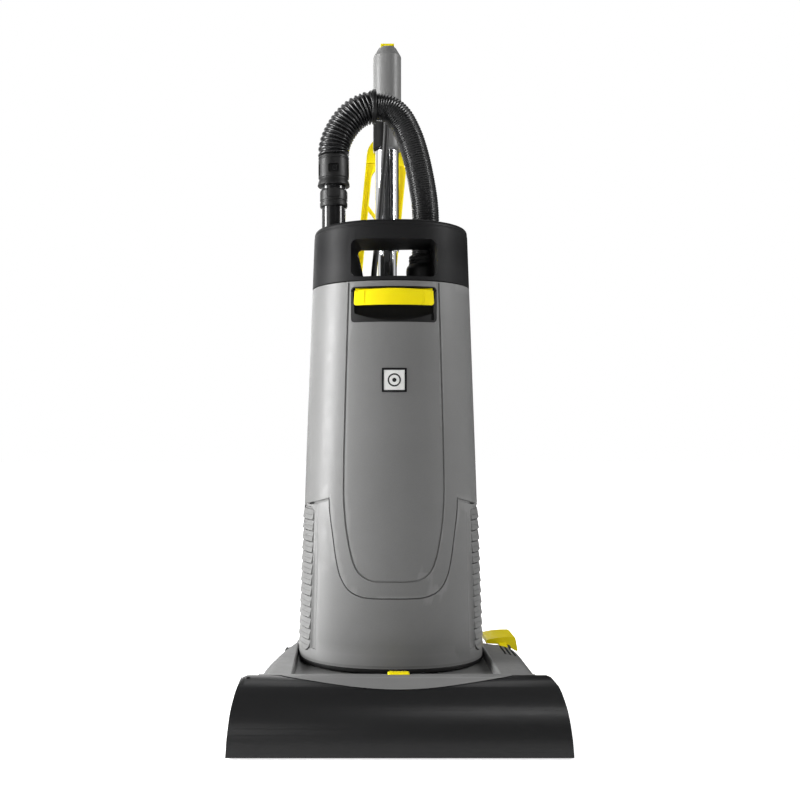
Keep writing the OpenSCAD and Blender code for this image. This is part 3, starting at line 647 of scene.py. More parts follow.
HOSE_D = 36
HOSE_WIDE_D = 42
FINE_ROUTE = [(x, HOSE_Y, z) for x, z in (
    (46, 600), (47, 646), (45, 676), (39, 711), (32, 740), (24, 763), (12, 785), (-3, 797),
    (-22, 800))]
COARSE_ROUTE = [(x, HOSE_Y, z) for x, z in (
    (-22, 800), (-34, 797), (-46, 791), (-58, 780), (-67, 767), (-73.5, 753), (-76, 741),
    (-76, 733.2))]
LEAD_D = 8
LEAD_ROUTE = [(x, LEAD_Y, z) for x, z in (
    (-2, 814.9), (-3, 785), (-5, 755), (-8, 720), (-11, 685), (-14, 650), (-17, 618), (-19.5, 595),
    (-21, 576.1))]


def ribbed(outer, depth, pitch, sharp):
    """Radius along a corrugated hose: rounded crests with narrow valleys between them."""
    def radius(distance):
        phase = (distance / pitch) % 1
        return outer - depth * abs(math.cos(math.pi * phase)) ** sharp
    return radius


def soft_between(piece, material, bodies, start, end, slot, *nodes):
    """Paints a piece that runs from one body to another, fixes its placement into its mesh and hides the
    CAD nodes it stands for.
    """
    paint(piece, material)
    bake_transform(piece)
    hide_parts(*nodes)


def build_hose():
    """One hose: a finely ribbed stretch from the cuff, then a wider, coarsely ribbed one."""
    path = smooth_path(FINE_ROUTE + COARSE_ROUTE[1:], 0.6)
    change = path_length(smooth_path(FINE_ROUTE, 0.6))
    fine, coarse = ribbed(HOSE_D / 2, 1.0, 3.1, 2), ribbed(HOSE_WIDE_D / 2, 2.6, 5.2, 3)
    hose = shaded(sweep("hose_ribs", path, lambda d: fine(d) if d < change else coarse(d - change), 60), 60)
    start, end = FINE_ROUTE[0], COARSE_ROUTE[-1]
    soft_between(hose, HOSE, ("body", "wand"), start, end, "hose_black", "hose_fine", "hose_coarse")
    ring = turned("hose_joint_collar", [(21.2, -2.6), (21.7, -2.6), (22.3, -1.8), (22.3, 1.4),
                                        (21.6, 2.6), (21.2, 2.6)], "x",
                  (FINE_ROUTE[-1][0], HOSE_Y, FINE_ROUTE[-1][2]), 72, closed=True)
    soft_between(shaded(ring), DEEP_BLACK, ("body", "wand"), start, end, "black_plastic",
                 "hose_joint_ring")


def build_lead():
    path = smooth_path(LEAD_ROUTE, 4)
    lead = shaded(sweep("switch_cable", path, LEAD_D / 2, 20), 60)
    soft_between(lead, RUBBER, ("handle", "body"), LEAD_ROUTE[0], LEAD_ROUTE[-1], "rubber_black",
                 "switch_lead")


# ------------------------------------------------------------------ body

DOOR_SIDE = [(81, 283), (79.6, 261), (76.3, 236), (71.5, 203), (66, 183), (56, 168), (40, 160.6),
             (20, 159), (0, 159)]
GROOVE_SIDE = [(56, 552), (60, 420), (62.6, 305), (61.2, 262), (57.4, 232), (51, 204), (43, 189.5),
               (30, 181.5), (14, 180), (0, 180)]
STEP = [(113, 272), (130, 266)]
VENT_FRONT = -22
VENT_Z = (84.5, 268.5)
LATCH_Z = (502, 546.5)
LATCH_HALF = 53.5
HOLE = (54, 559, 606)


def mirrored(side):
    """A line drawn for the right half, run from the left half through the middle."""
    return [(-x, z) for x, z in side] + [(x, z) for x, z in reversed(side[:-1])]


def flat_curve(side):
    """A smooth symmetrical line in x and z from its right half."""
    path = smooth_path([(x, 0, z) for x, z in side], CURVE_STEP)
    return mirrored([(p.x, p.z) for p in path])


def door_outline(grow):
    """The bag door's outline in x and z, grown on every side."""
    line = flat_curve(DOOR_SIDE)
    grown = []
    for i, (x, z) in enumerate(line):
        before, after = line[max(i - 1, 0)], line[min(i + 1, len(line) - 1)]
        along = Vector((after[0] - before[0], after[1] - before[1])).normalized()
        grown.append((x + along.y * grow, z - along.x * grow))
    top = SEAM_Z + 4
    right = [(x, z - grow) for x, z in STEP]
    left = [(-x, z) for x, z in reversed(right)]
    return grown + right + [(130, top), (-130, top)] + left


def surface_groove(name, line, radius, sink=0.0):
    """A rod lying in the body's front surface, to cut a groove along a line in x and z."""
    path = even_path([Vector((x, front_y_at(x, z) - sink, z)) for x, z in line], 4)
    return sweep(name, path, radius, 10)


def vent_outline(grow):
    """Side view of a vent, with its front corners round."""
    radius = 9
    front, low, high = VENT_FRONT - grow, VENT_Z[0] - grow, VENT_Z[1] + grow
    return ([(BODY_SIDE + 2, low), (BODY_SIDE + 2, high)]
            + arc(front + radius, high - radius, radius, 90, 180, 8)
            + arc(front + radius, low + radius, radius, 180, 270, 8))


def vent_holes(grow=0.9):
    return [prism("vent_hole", vent_outline(grow), side * 92, side * 135, "x") for side in (-1, 1)]


def vent_dips():
    """Rods that sink a shallow channel in front of each vent, fading out at its top."""
    rods = []
    for side in (-1, 1):
        path, radius, depth = [], 9, 1.7
        for i in range(25):
            z = VENT_Z[0] + 4 + (VENT_Z[1] - VENT_Z[0] - 8) * i / 24
            fade = depth * min(1, (24 - i) / 12)
            y = VENT_FRONT - 6.5
            reach = ((BODY_SIDE - y) / (BODY_SIDE - BODY_FRONT)) ** FRONT_POWER
            x = half_width(z) * (1 - reach) ** (1 / FRONT_POWER)
            path.append(Vector((side * (x + (radius - fade) * 0.86), y - (radius - fade) * 0.5, z)))
        rods.append(sweep("vent_dip", path, radius, 32))
    return rods


def build_door():
    door = body_wall("bag_door_shell", levels(150, SEAM_Z - 0.9))
    keep(door, prism("outline", door_outline(0), BODY_FRONT - 15, BODY_SIDE))
    half, (low, high) = LATCH_HALF, LATCH_Z
    cut(door, surface_groove("inner_groove", flat_curve(GROOVE_SIDE), 1.3, -0.3),
        surface_groove("seam_groove", flat_curve(DOOR_SIDE), 1.0, 0.2),
        prism("latch_hole", round_rect(-half, low, half, high, 4.5), BODY_FRONT - 10, -30), *vent_holes())
    rounded(door, 0.5)
    hooks = []
    for x in (-28, 16):
        hooks.append(prism("hinge_hook", [(BODY_FRONT + 5.4, 153), (BODY_FRONT + 8, 153),
                                          (BODY_FRONT + 8, 171), (BODY_FRONT + 2, 171),
                                          (BODY_FRONT + 2, 161), (BODY_FRONT + 5.4, 161)], x, x + 12, "x"))
    hinge = rounded(merged("door_hinge_hooks", hooks), 0.5)
    dress(door, GREY, "door", "bag_door")
    dress(hinge, GREY, "door")


def build_lower_panel():
    panel = body_wall("lower_front_shell", levels(BASE_Z + 3.6, 292))
    keep(panel, block("front_half", (-140, BODY_FRONT - 15, 60), (140, BODY_SIDE, 300)))
    cut(panel, prism("outline", door_outline(0.9), BODY_FRONT - 20, BODY_SIDE + 2),
        surface_groove("seam_groove", flat_curve(DOOR_SIDE), 1.3, 0.3), *vent_holes(), *vent_dips())
    for side in (-1, 1):
        line = [(side * x, z - 2) for x, z in [(74, 285), (81, 283), (97, 277.6)] + STEP]
        cut(panel, surface_groove("step_groove", line, 2.0, 1.3))
    rounded(panel, 0.5)
    dress(panel, GREY, "body", "lower_front_panel")
    # A black sheet just inside the wall, seen through the door's seam gaps: painted shade that makes the
    # gaps read dark.
    lip = body_wall("seam_shade_sheet", [(150, WALL + 0.3), (294, WALL + 0.3)], 1.6)
    keep(lip, block("front_half", (-140, BODY_FRONT - 15, 60), (140, BODY_SIDE - 1, 300)))
    cut(lip, prism("opening", door_outline(-7), BODY_FRONT - 20, BODY_SIDE + 2), *vent_holes(4))
    dress(shaded(lip), DEEP_BLACK, "body")


def build_vents():
    slats, pitch, first = 13, 14, VENT_Z[0] + 0.6
    rows = [(VENT_Z[0] - 2, 0.6)]
    for i in range(slats):
        low = first + i * pitch
        rows += [(low, -1.55), (low + 5.6, -0.7), (low + 6.2, -0.2), (low + 6.5, -0.75),
                 (low + 12.2, 0.25), (low + 12.4, 2.2), (low + 13.7, 2.2)]
    rows.append((VENT_Z[1] + 2, 0.4))
    for side, name in ((-1, "left"), (1, "right")):
        sections = [body_section(z, inset) for z, inset in rows]
        inner = [body_section(z, WALL + 0.4) for z, inset in rows]
        grille = shell(f"vent_louvres_{name}", sections, inner)
        keep(grille, prism("outline", [(min(y, BODY_SIDE - 0.1), z) for y, z in vent_outline(0)],
                           side * 92, side * 135, "x"))
        dress(shaded(grille, 30), GREY, "body", f"vent_grille_{name}")


def build_housing():
    wall = body_wall("rear_housing_shell", levels(BASE_Z, SEAM_Z - 0.2))
    keep(wall, block("rear_half", (-140, BODY_SIDE + 0.4, 60), (140, BODY_BACK + 5, 600)))
    tools = []
    for side in (-1, 1):
        path = [Vector((side * 52, BODY_BACK + 0.6, z)) for z in range(96, 371, 25)]
        tools.append(sweep("back_groove", path, 1.6, 12))
        for z in (118, 250, 372, 530):
            tools.append(rod("screw_well", 5.5, BODY_BACK - 1.6, BODY_BACK + 3, "y",
                                (side * 76, 0, z), 32))
            tools.append(rod("screw_slot", 2.6, BODY_BACK - 2.4, BODY_BACK + 3, "y",
                                (side * 76, 0, z), 6))
    cut(wall, *tools)
    spine = prism("spine", round_rect(-24, BODY_BACK - WALL, 24, 142, 6), 380, SEAM_Z - 0.2, "z")
    join(wall, spine)
    cut(wall, rod("tube_bore", 14.1, 384, 600, "z", TUBE_AXIS))
    rounded(wall, 0.6)
    dress(wall, GREY, "body", "rear_housing")
    floor = body_solid("housing_floor", [(BASE_Z, 0.3), (BASE_Z + 3.5, 0.3)])
    cut(floor, block("neck_hole", (-84, 28, 60), (26, 109, 80)),
        rod("motor_vent", 20, 60, 90, "z", FAN_AXIS, 48))
    deck = body_solid("housing_deck", [(238, WALL + 0.5), (241, WALL + 0.5)])
    cut(deck, rod("riser_hole", 21, 230, 250, "z", (0, 88, 0), 48),
        rod("air_hole", 34, 230, 250, "z", FAN_AXIS, 48))
    ears = []
    for x in (-114, 106):
        outline = arc(60, 60, 11, 180, 360, 24) + [(71, 74), (49, 74)]
        ear = prism("pivot_ear", outline, x, x + 8, "x")
        ears.append(cut(ear, rod("pin_hole", 6.1, x - 2, x + 10, "x", PIVOT, 32)))
    inside = merged("housing_floor_and_deck", [floor, deck] + ears)
    dress(rounded(inside, 0.6), GREY, "body")


def build_cap():
    profile = [(SEAM_Z, 0.7), (SEAM_Z + 0.7, 0.0), (SEAM_Z + 22, 0), (SEAM_Z + 44, 0), (620, 0.0),
               (622.2, 0.15), (622.8, 0.75), (623.9, 0.8), (624.5, 0.35), (626.4, 0.45), (628.2, 1.1),
               (629.4, 2.2), (CAP_Z, 3.6)]
    cap = body_solid("cap_shell", profile)
    cut(cap, body_solid("cap_hollow", [(SEAM_Z - 2, 3.5), (CAP_Z - 3.5, 3.5)]))
    half, low, high = HOLE
    bar_back = BODY_FRONT + 68
    inside = body_solid("limit", [(SEAM_Z, 0.5), (CAP_Z - 2, 0.5)])
    core = block("core", (-half - 3, -80, SEAM_Z), (half + 3, bar_back + 3, high + 3))
    rear = block("rear", (-half - 3, bar_back - 3, SEAM_Z), (87, 130, CAP_Z - 2.1))
    post = rod("post", 21, SEAM_Z, CAP_Z - 2.1, "z", WAND_AXIS)
    join(core, rear, post)
    keep(core, inside)
    join(cap, core)
    mouth = round_rect(-half, low, half, high, 8)
    throat = arc(46, low + 8, 6, -90, 0, 6) + arc(46, high - 7, 6, 0, 78, 6)
    throat += arc(-38, high - 8.5, 6, 102, 180, 6) + arc(-32, low + 7, 5, 180, 270, 6)
    hole = loft("hand_hole", [[(x, y, z) for x, z in outline]
                              for y, outline in ((-90, mouth), (BODY_FRONT + 10, mouth),
                                                 (bar_back - 14, throat), (bar_back + 1, throat))])
    pocket_outline = ([(-half, bar_back), (84, bar_back), (84, 130), (-half, 130)])
    pocket = prism("pocket", pocket_outline, SEAM_Z + 3.5, CAP_Z + 2, "z")
    cut(cap, hole, pocket, rod("wand_well", 16.6, SEAM_Z + 10, 650, "z", WAND_AXIS),
        rod("port_hole", 20.1, SEAM_Z - 2, SEAM_Z + 6, "z", (PORT_X, HOSE_Y, 0)),
        rod("clamp_hole", 22, SEAM_Z - 2, 650, "z", TUBE_AXIS))
    dress(rounded(cap, 0.9, 3), CAP_BLACK, "body", "top_cap")


def build_seal():
    rows = [(SEAL_LOW.z, 1.2), (SEAL_LOW.z + 1, 0.2), (SEAL_LOW.z + 2.4, 0), (BASE_Z - 0.8, 0.2),
            (BASE_Z - 0.05, 0.9)]
    seal = shell("base_seal_band", [body_section(z, inset) for z, inset in rows],
                 [body_section(z, 6) for z, inset in rows])
    dress(shaded(seal), DEEP_BLACK, "body", "base_seal", slot="rubber_black")


def build_latch():
    half, (low, high) = LATCH_HALF - 0.15, (LATCH_Z[0] + 0.15, LATCH_Z[1] - 0.15)
    bezel = body_solid("latch_surround", [(low - 4, 0.35), (high + 4, 0.35)])
    keep(bezel, prism("limit", round_rect(-half, low, half, high, 4.3), BODY_FRONT - 10, -34))
    lens = arc(0, 636, 132, -112, -68, 24) + [(50.4, high - 1.2), (-50.4, high - 1.2)]
    cut(bezel, prism("finger_well", lens, BODY_FRONT - 12, -40),
        block("pin_room", (-51, BODY_FRONT - 12, 530), (51, -37, high - 1.2)))
    cut(bezel, prism("clip_slot", round_rect(46.3, 504.6, 50.2, 514, 1.4), BODY_FRONT - 12, -52))
    dress(rounded(bezel, 0.45), DEEP_BLACK, "door", "latch_bezel")
    plate = body_wall("latch_plate", [(520, 0.25), (532, -0.1), (548, 0.0)], 2.8)
    crown = arc(0, 41.4, 502.4, 84.4, 95.6, 16)
    foot = arc(-46.8, 526.7, 3.2, 180, 270, 6) + arc(46.8, 526.7, 3.2, -90, 0, 6)
    keep(plate, prism("limit", foot + crown, BODY_FRONT - 10, -34))
    dress(rounded(plate, 0.8, 3), YELLOW, "latch", "latch_lever")
    barrel = turned("lever_barrel", [(1.6, -48), (3.4, -48), (3.4, 48), (1.6, 48)], "x", (0, -55, 541.5),
                    32, closed=True)
    webs = [block("web", (side * 36 - 2, -61, 526), (side * 36 + 2, -56, 541)) for side in (-1, 1)]
    dress(shaded(merged("lever_hinge", [barrel] + webs)), YELLOW, "latch")


def build_badge():
    """A plain plate: dark bevelled frame, white face and a simple ring-and-dot sign."""
    low, high, half = 415, 445, 15.5

    def layer(name, outer, inner, outline):
        piece = body_solid(name, [(410, -outer), (450, -outer)])
        keep(piece, prism("limit", outline, BODY_FRONT - 10, -40))
        return cut(piece, body_solid("below", [(400, inner), (460, inner)]))

    square = round_rect(-half, low, half, high, 0.8, 2)
    window = round_rect(-half + 2.6, low + 2.6, half - 2.6, high - 2.6, 0.3, 2)
    surround = layer("badge_frame", 0.78, 0.02, square)
    cut(surround, prism("window", window, BODY_FRONT - 10, -40))
    face = layer("badge_face", 0.38, 0.02, window)
    ring = layer("badge_sign", 0.5, -0.36, arc(0, 430, 8.2, 0, 354, 59))
    cut(ring, prism("inside", arc(0, 430, 6.4, 0, 354, 59), BODY_FRONT - 10, -40))
    dot = layer("badge_dot", 0.5, -0.36, arc(0, 430, 2.6, 0, 350, 35))
    dress(rounded(surround, 0.5), CAP_BLACK, "door", "door_badge")
    dress(shaded(face), WHITE, "door")
    dress(shaded(merged("badge_ring_and_dot", [ring, dot])), DEEP_BLACK, "door")


# ------------------------------------------------------------------ cleaning head


def cover_point(angle, inset=0.0):
    """Depth and height on the front cover's profile, at an angle from the floor to the crest."""
    a = math.radians(angle)
    return CREST_Y - (COVER_RUN - inset) * math.cos(a), (COVER_H - inset) * math.sin(a)


def cover_edge(x):
    """Height of the front cover's top edge at a distance x from the middle."""
    return COVER_H - CUT_DEPTH * (1 + math.cos(math.pi * min(1, abs(x) / CUT_HALF))) / 2


def above_edge(rise):
    """Everything above the curved line of the cover's top edge."""
    line = [(x, cover_edge(x) + rise) for x in range(-CUT_HALF, CUT_HALF + 1, 5)]
    return prism("above_edge", line + [(CUT_HALF, COVER_H + 20), (-CUT_HALF, COVER_H + 20)],
                 FRONT_Y - 5, CREST_Y + 30)


def skin_outline(start, stop, thickness):
    """Closed (y, z) outline of the front cover's wall between two angles."""
    turns = [start + (stop - start) * i / SKIN_STEPS for i in range(SKIN_STEPS + 1)]
    return [cover_point(a) for a in turns] + [cover_point(a, thickness) for a in reversed(turns)]


def inside_skin(inset):
    """Everything behind the front cover's face, moved in by inset."""
    return prism("inside_skin", [cover_point(a, inset) for a in range(0, 91, 3)]
                 + [(CREST_Y + 60, COVER_H - inset), (CREST_Y + 60, 0)], -HEAD_W, HEAD_W, "x")


def build_front_cover():
    half = HEAD_W / 2
    cover = prism("front_cover_shell", skin_outline(1.5, 89.5, WALL), -half, half, "x")
    bars = []
    for side in (-1, 1):
        outline = [cover_point(1.5 + 88.5 * i / 30) for i in range(31)]
        outline += [(CREST_Y + 14, 77), (CREST_Y + 24, 62), (CREST_Y + 40, 28), (CREST_Y + 40, COVER_GAP)]
        low, high = sorted((side * 184.5, side * half))
        bars.append(prism("end_plate", outline, low, high, "x"))
    join(cover, *bars)
    line = smooth_path([(half - 0.2, 0, COVER_GAP), (half - 1.5, 0, 24), (half - 4.2, 0, 50),
                        (TOP_HALF + 1.4, 0, 68)], 3)
    edge = [(p.x, p.z) for p in line] + [(TOP_HALF - 0.4, 73), (TOP_HALF - 4.4, 77.6),
                                         (TOP_HALF - 10, COVER_H)]
    keep(cover, prism("outline", edge + [(-x, z) for x, z in reversed(edge)], FRONT_Y - 5, CREST_Y + 60))
    wells = [block("clip_well", (-185.4, -140, 70.2), (-172, CREST_Y - 0.6, 79.4)),
             block("clip_well", (-199, -152, 48.6), (-187.6, -124, 70.8))]
    for well in wells:
        cut(well, inside_skin(1.2))
    cut(cover, above_edge(0), block("crest_room", (-163.2, CREST_Y - 0.1, 60), (163.2, CREST_Y + 10, 90)),
        *wells)
    dress(rounded(cover, 0.9, 3), BLACK, "front_cover", "brush_cover")
    clips = [block("clip", (-184.6, -139, 71), (-178.4, CREST_Y - 1, 78.6)),
             block("clip", (-198, -150, 49.4), (-188.2, -126, 69.6))]
    for clip, inset in zip(clips, (0.5, 0.7)):
        keep(clip, inside_skin(inset))
        inner = [(x * CLIP_SHARE, z) for x, z in edge]
        inner += [(-x * CLIP_SHARE, z) for x, z in reversed(edge)]
        keep(clip, prism("outline", inner, FRONT_Y - 5, CREST_Y + 60))
    dress(rounded(merged("cover_end_clip", clips), 0.35), DEEP_BLACK, "front_cover")


def fender_x(side, y):
    """Outer edge of the head beside the body, seen from above."""
    share = max(0, min(1, (y - CREST_Y + 5) / (190 if side < 0 else 178)))
    return ARM_X + (40 if side < 0 else 44) * (1 - share ** (2.2 if side < 0 else 14))


def fender_form(name, side, inset, low, inner):
    """The head beside the body: a crowned bar that narrows towards the back."""
    last = (70 if side < 0 else 50) - inset
    first = CREST_Y + (0.02 if inset == 0 else -2)
    sections = []
    for i in range(41):
        y = first + (last - first) * i / 40
        outer = max(ARM_X + 3.4 if inset == 0 else inner + 0.6, fender_x(side, y) - inset)
        top = FENDER_Z - inset
        width = outer - inner
        soft, round_in = min((15 if side < 0 else 10) - inset, 0.5 * width), min(2.5, 0.3 * width)
        points = [(inner, low)]
        points += [(inner + round_in * (1 - math.sin(t)), top - round_in * (1 - math.cos(t)))
                   for t in [math.pi / 2 * (1 - k / 6) for k in range(7)]]
        points += [(outer - soft * (1 - math.sin(t)), top - 0.75 * soft * (1 - math.cos(t)))
                   for t in [math.pi / 2 * k / 12 for k in range(13)]]
        points += [(outer, low)]
        sections.append([(side * x, y, z) for x, z in points])
    return loft(name, sections)


def build_top_cover():
    crest = prism("crest_skin", skin_outline(40, 90, WALL), -163, 163, "x")
    keep(crest, above_edge(0.8))
    slab = prism("slab", [(CREST_Y - 0.01, 74), (CREST_Y - 0.01, 79.9), (CREST_Y + 3, 80),
                          (CREST_Y + 7, 79.2), (CREST_Y + 8, 77.5), (CREST_Y + 8, RECESS_Z - 3),
                          (CREST_Y + 5, RECESS_Z - 3), (CREST_Y + 5, 74)], -163, 163, "x")
    floor = prism("recess_floor", [(CREST_Y + 5, RECESS_Z - 3), (CREST_Y + 5, RECESS_Z + 2),
                                   (CREST_Y + 9, RECESS_Z + 0.3), (CREST_Y + 12, RECESS_Z), (36, RECESS_Z),
                                   (36, RECESS_Z - 3)], -ARM_X - 1, ARM_X + 1, "x")
    join(crest, slab, floor)
    for side in (-1, 1):
        fender = fender_form("fender", side, 0, 12, ARM_X)
        cut(fender, fender_form("fender_inside", side, 2.6, 0, ARM_X + 2))
        join(crest, fender)
    slits = []
    for i in range(3):
        x = 146.6 + 5.4 * i
        outline = round_rect(x, -10 - 5 * i, x + 2.7, 38 - 6 * i, 1.25, 4)
        slits.append(prism("slit", outline, FENDER_Z - 12, FENDER_Z + 5, "z"))
    rooms = [block("arm_room", (min(side * 123, side * 127.8), CREST_Y - 1, 0),
                   (max(side * 123, side * 127.8), 112, 60.3)) for side in (-1, 1)]
    bosses = [rod("boss_room", 13.5, side * 125 - 5, side * 125 + 5, "x", PIVOT)
              for side in (-1, 1)]
    cut(crest, *slits, *rooms, *bosses, block("wall_room", (-181, -98.3, 0), (181, -94.7, 60.9)),
        rod("brush_room", 31, -181, 181, "x", BRUSH_AXIS),
        block("button_room", (-11.5, CREST_Y, RECESS_Z - 8), (16.5, CREST_Y + 14, 95)))
    crest.name = "head_top_shell"
    dress(rounded(crest, 0.5), GREY, "head", "head_top_cover")


def build_pedal():
    outline = [(133, 75), (132.6, 77.5), (133.6, 80), (140, 81.6), (148, 83), (160, 83.9), (170, 84),
               (172.6, 83), (173.8, 79), (176, 66.4), (175.8, 65), (174.4, 64.6), (172, 65.6), (168, 68),
               (158, 72), (147, 74.4)]
    plate = prism("pedal_plate", outline, 56, 104)
    grooves = []
    for i in range(6):
        y = 62 + 7 * i
        path = [Vector((x, y, z + 0.5)) for x, z in ((136, 80.8), (148, 83), (160, 83.9), (166, 84.0))]
        grooves.append(sweep("tread_groove", path, 1.1, 8))
    cut(plate, *grooves)
    rounded(plate, 0.9, 3)
    hub = turned("pedal_hub", [(3.05, 149.5), (4.6, 149.5), (5, 150), (5, 160), (4.6, 160.5),
                               (3.05, 160.5)], "x", (0, 48, 69.5), 48, closed=True)
    arm = prism("pedal_arm", [(51.4, 66.4), (60, 70), (60, 78), (52.6, 74.5), (51.4, 73)], 150, 160, "x")
    dress(plate, YELLOW, "pedal", "foot_pedal")
    dress(rounded(merged("pedal_arm_and_hub", [hub, arm]), 0.4), YELLOW, "pedal")


def build_release_button():
    low, high = box_mm("cover_release_button")
    top = loft("release_button", [[(x, y, z) for x, y in round_rect(low.x + i, low.y + i, high.x - i,
                                                                     high.y - i, 2.5, 5)]
                                  for z, i in ((74, 0), (79.6, 0), (80.8, 0.5), (81.5, 1.7))])
    stem = prism("stem", round_rect(-8, CREST_Y + 3, 13, CREST_Y + 11, 1), 68, 75, "z")
    ridges = [block("ridge", (-4 + 4 * i, low.y - 1, 81), (-3 + 4 * i, high.y + 1, 83)) for i in range(4)]
    cut(join(top, stem), *ridges)
    dress(shaded(top, 40), YELLOW, "release", "cover_release_button")


def coil(name, radius, wire, turns, low, high, place):
    """A coil spring; place turns (across, across, along) into a point."""
    steps = turns * 20
    path = [Vector(place(radius * math.cos(2 * math.pi * i / 20), radius * math.sin(2 * math.pi * i / 20),
                         low + (high - low) * i / steps)) for i in range(steps + 1)]
    return shaded(sweep(name, path, wire, 8, (0.31, 0.52, 0.8)), 60)


def build_springs():
    release = coil("release_coil", 3.2, 0.45, 5, 62.6, 67.4, lambda u, v, d: (2.5 + u, CREST_Y + 7 + v, d))
    pedal = coil("pedal_coil", 3.8, 0.4, 3, 146.8, 149, lambda u, v, d: (d, 48 + u, 69.5 + v))
    dress(release, ZINC, "head", "release_spring")
    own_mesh(release)
    dress(pedal, ZINC, "head", "pedal_spring")


def build_wheels():
    for side, name in ((-1, "left"), (1, "right")):
        low, high = box_mm(f"rear_wheel_{name}")
        centre, across = (low + high) / 2, high.x - low.x
        inner = (low if side > 0 else high).x

        def at(distance):
            return inner + side * distance

        tyre = [(23, at(1.5)), (27.2, at(0.8)), (29.2, at(1.8)), (30, at(3.6))]
        for groove in (5.6, 9.0, 12.4):
            tyre += [(30, at(groove - 0.9)), (29, at(groove - 0.5)), (29, at(groove + 0.5)),
                     (30, at(groove + 0.9))]
        tyre += [(30, at(across - 3.6)), (29.2, at(across - 1.8)), (27.2, at(across - 0.8)),
                 (23, at(across - 1.5))]
        hub = [(4.05, at(0)), (9, at(0)), (9.6, at(0.8)), (10, at(3.5)), (21, at(4)), (22.4, at(1)),
               (23, at(1)), (23, at(across - 1)), (22, at(across - 0.6)), (21, at(across - 3.2)),
               (9.2, at(across - 3.6)), (8.6, at(across - 0.5)), (4.05, at(across - 0.5))]
        place = (0, centre.y, centre.z)
        body = f"wheel_{name}"
        tyre = turned(f"tyre_{name}", tyre, "x", place, 96, closed=True)
        dress(shaded(tyre, 28), RUBBER, body, f"rear_wheel_{name}")
        wheel = turned(f"wheel_hub_{name}", hub, "x", place, 72, closed=True)
        holes = []
        for i in range(6):
            a = math.radians(60 * i + 30)
            holes.append(turned("lightening", [(3.4, at(-1)), (3.4, at(across + 1))], "x",
                                (0, centre.y + 15 * math.cos(a), centre.z + 15 * math.sin(a)), 24))
        dress(rounded(cut(wheel, *holes), 0.35), GREY, body)


def build_front_rollers():
    for name in ("left", "right"):
        low, high = box_mm(f"front_roller_{name}")
        centre = (low + high) / 2
        x0, x1 = low.x, high.x
        profile = [(2.56, x0), (8.6, x0), (9.6, x0 + 0.5), (10, x0 + 1.5), (10, x0 + 7.4), (9.3, x0 + 8.2),
                   (9.3, x1 - 8.2), (10, x1 - 7.4), (10, x1 - 1.5), (9.6, x1 - 0.5), (8.6, x1), (2.56, x1)]
        roller = turned(f"roller_{name}", profile, "x", (0, centre.y, centre.z), closed=True)
        dress(shaded(roller, 30), RUBBER, f"roller_{name}", f"front_roller_{name}")


def build_bristles():
    """Two helical rows of tufts, each a splayed bundle of single bristles."""
    low, high = box_mm("brush_bristles")
    centre = Vector(BRUSH_AXIS)
    tufts, outer = 38, 29
    points, faces = [], []
    for i in range(tufts):
        for row in (0, 1):
            x = low.x + 3.4 + (high.x - low.x - 6.8) * i / (tufts - 1)
            turn = math.pi * row + math.pi * i / tufts
            for _ in range(11):
                lean, spread = DRAWN.uniform(0, 2 * math.pi), 0.9 * math.sqrt(DRAWN.random())
                root = Vector((x + spread * math.cos(lean), 0, 0))
                a = turn + 0.11 * spread * math.sin(lean)
                b = a + 0.05 * math.sin(lean)
                tip_x = x + min(1.0, spread) * 2.0 * math.cos(lean)
                reach = outer - 0.4 - DRAWN.uniform(0, 0.6)
                foot = centre + Vector((root.x, 17 * math.cos(a), 17 * math.sin(a)))
                tip = centre + Vector((tip_x, reach * math.cos(b), reach * math.sin(b)))
                along = (tip - foot).normalized()
                u = along.cross(Vector((1, 0, 0))).normalized()
                v = along.cross(u)
                start = len(points)
                for end, size in ((foot, 0.34), (tip, 0.22)):
                    points += [end + size * (math.cos(t) * u + math.sin(t) * v)
                               for t in BRISTLE_CORNERS]
                faces += [(start + j, start + (j + 1) % 3, start + 3 + (j + 1) % 3, start + 3 + j)
                          for j in range(3)]
                faces.append((start + 3, start + 4, start + 5))
                faces.append((start + 2, start + 1, start))
    tuft = mesh_object("bristle_rows", points, faces)
    dress(tuft, BRISTLE, "brush", "brush_bristles")


# ------------------------------------------------------------------ hose fittings and wand


def build_hose_cuff():
    profile = [(16, 546), (19.4, 546), (20, 546.8), (20, 557.7), (24, 557.7), (25, 558.8), (25, 565.2),
               (24, 566.4), (24, 568.2), (25, 569.4), (25, 581), (24.4, 584.2), (22.4, 587.4),
               (21.5, 588.2), (21.5, 590.4), (20.7, 591), (20.7, 592.4), (21.5, 593), (21.5, 595),
               (20.7, 595.6), (20.7, 597), (21.5, 597.6), (21.2, 599.4), (20.4, 600), (18.2, 600),
               (16, 599)]
    cuff = turned("hose_cuff_sleeve", profile, "z", (PORT_X, HOSE_Y, 0), 96, closed=True)
    dress(shaded(cuff, 30), DEEP_BLACK, "body", "hose_cuff")


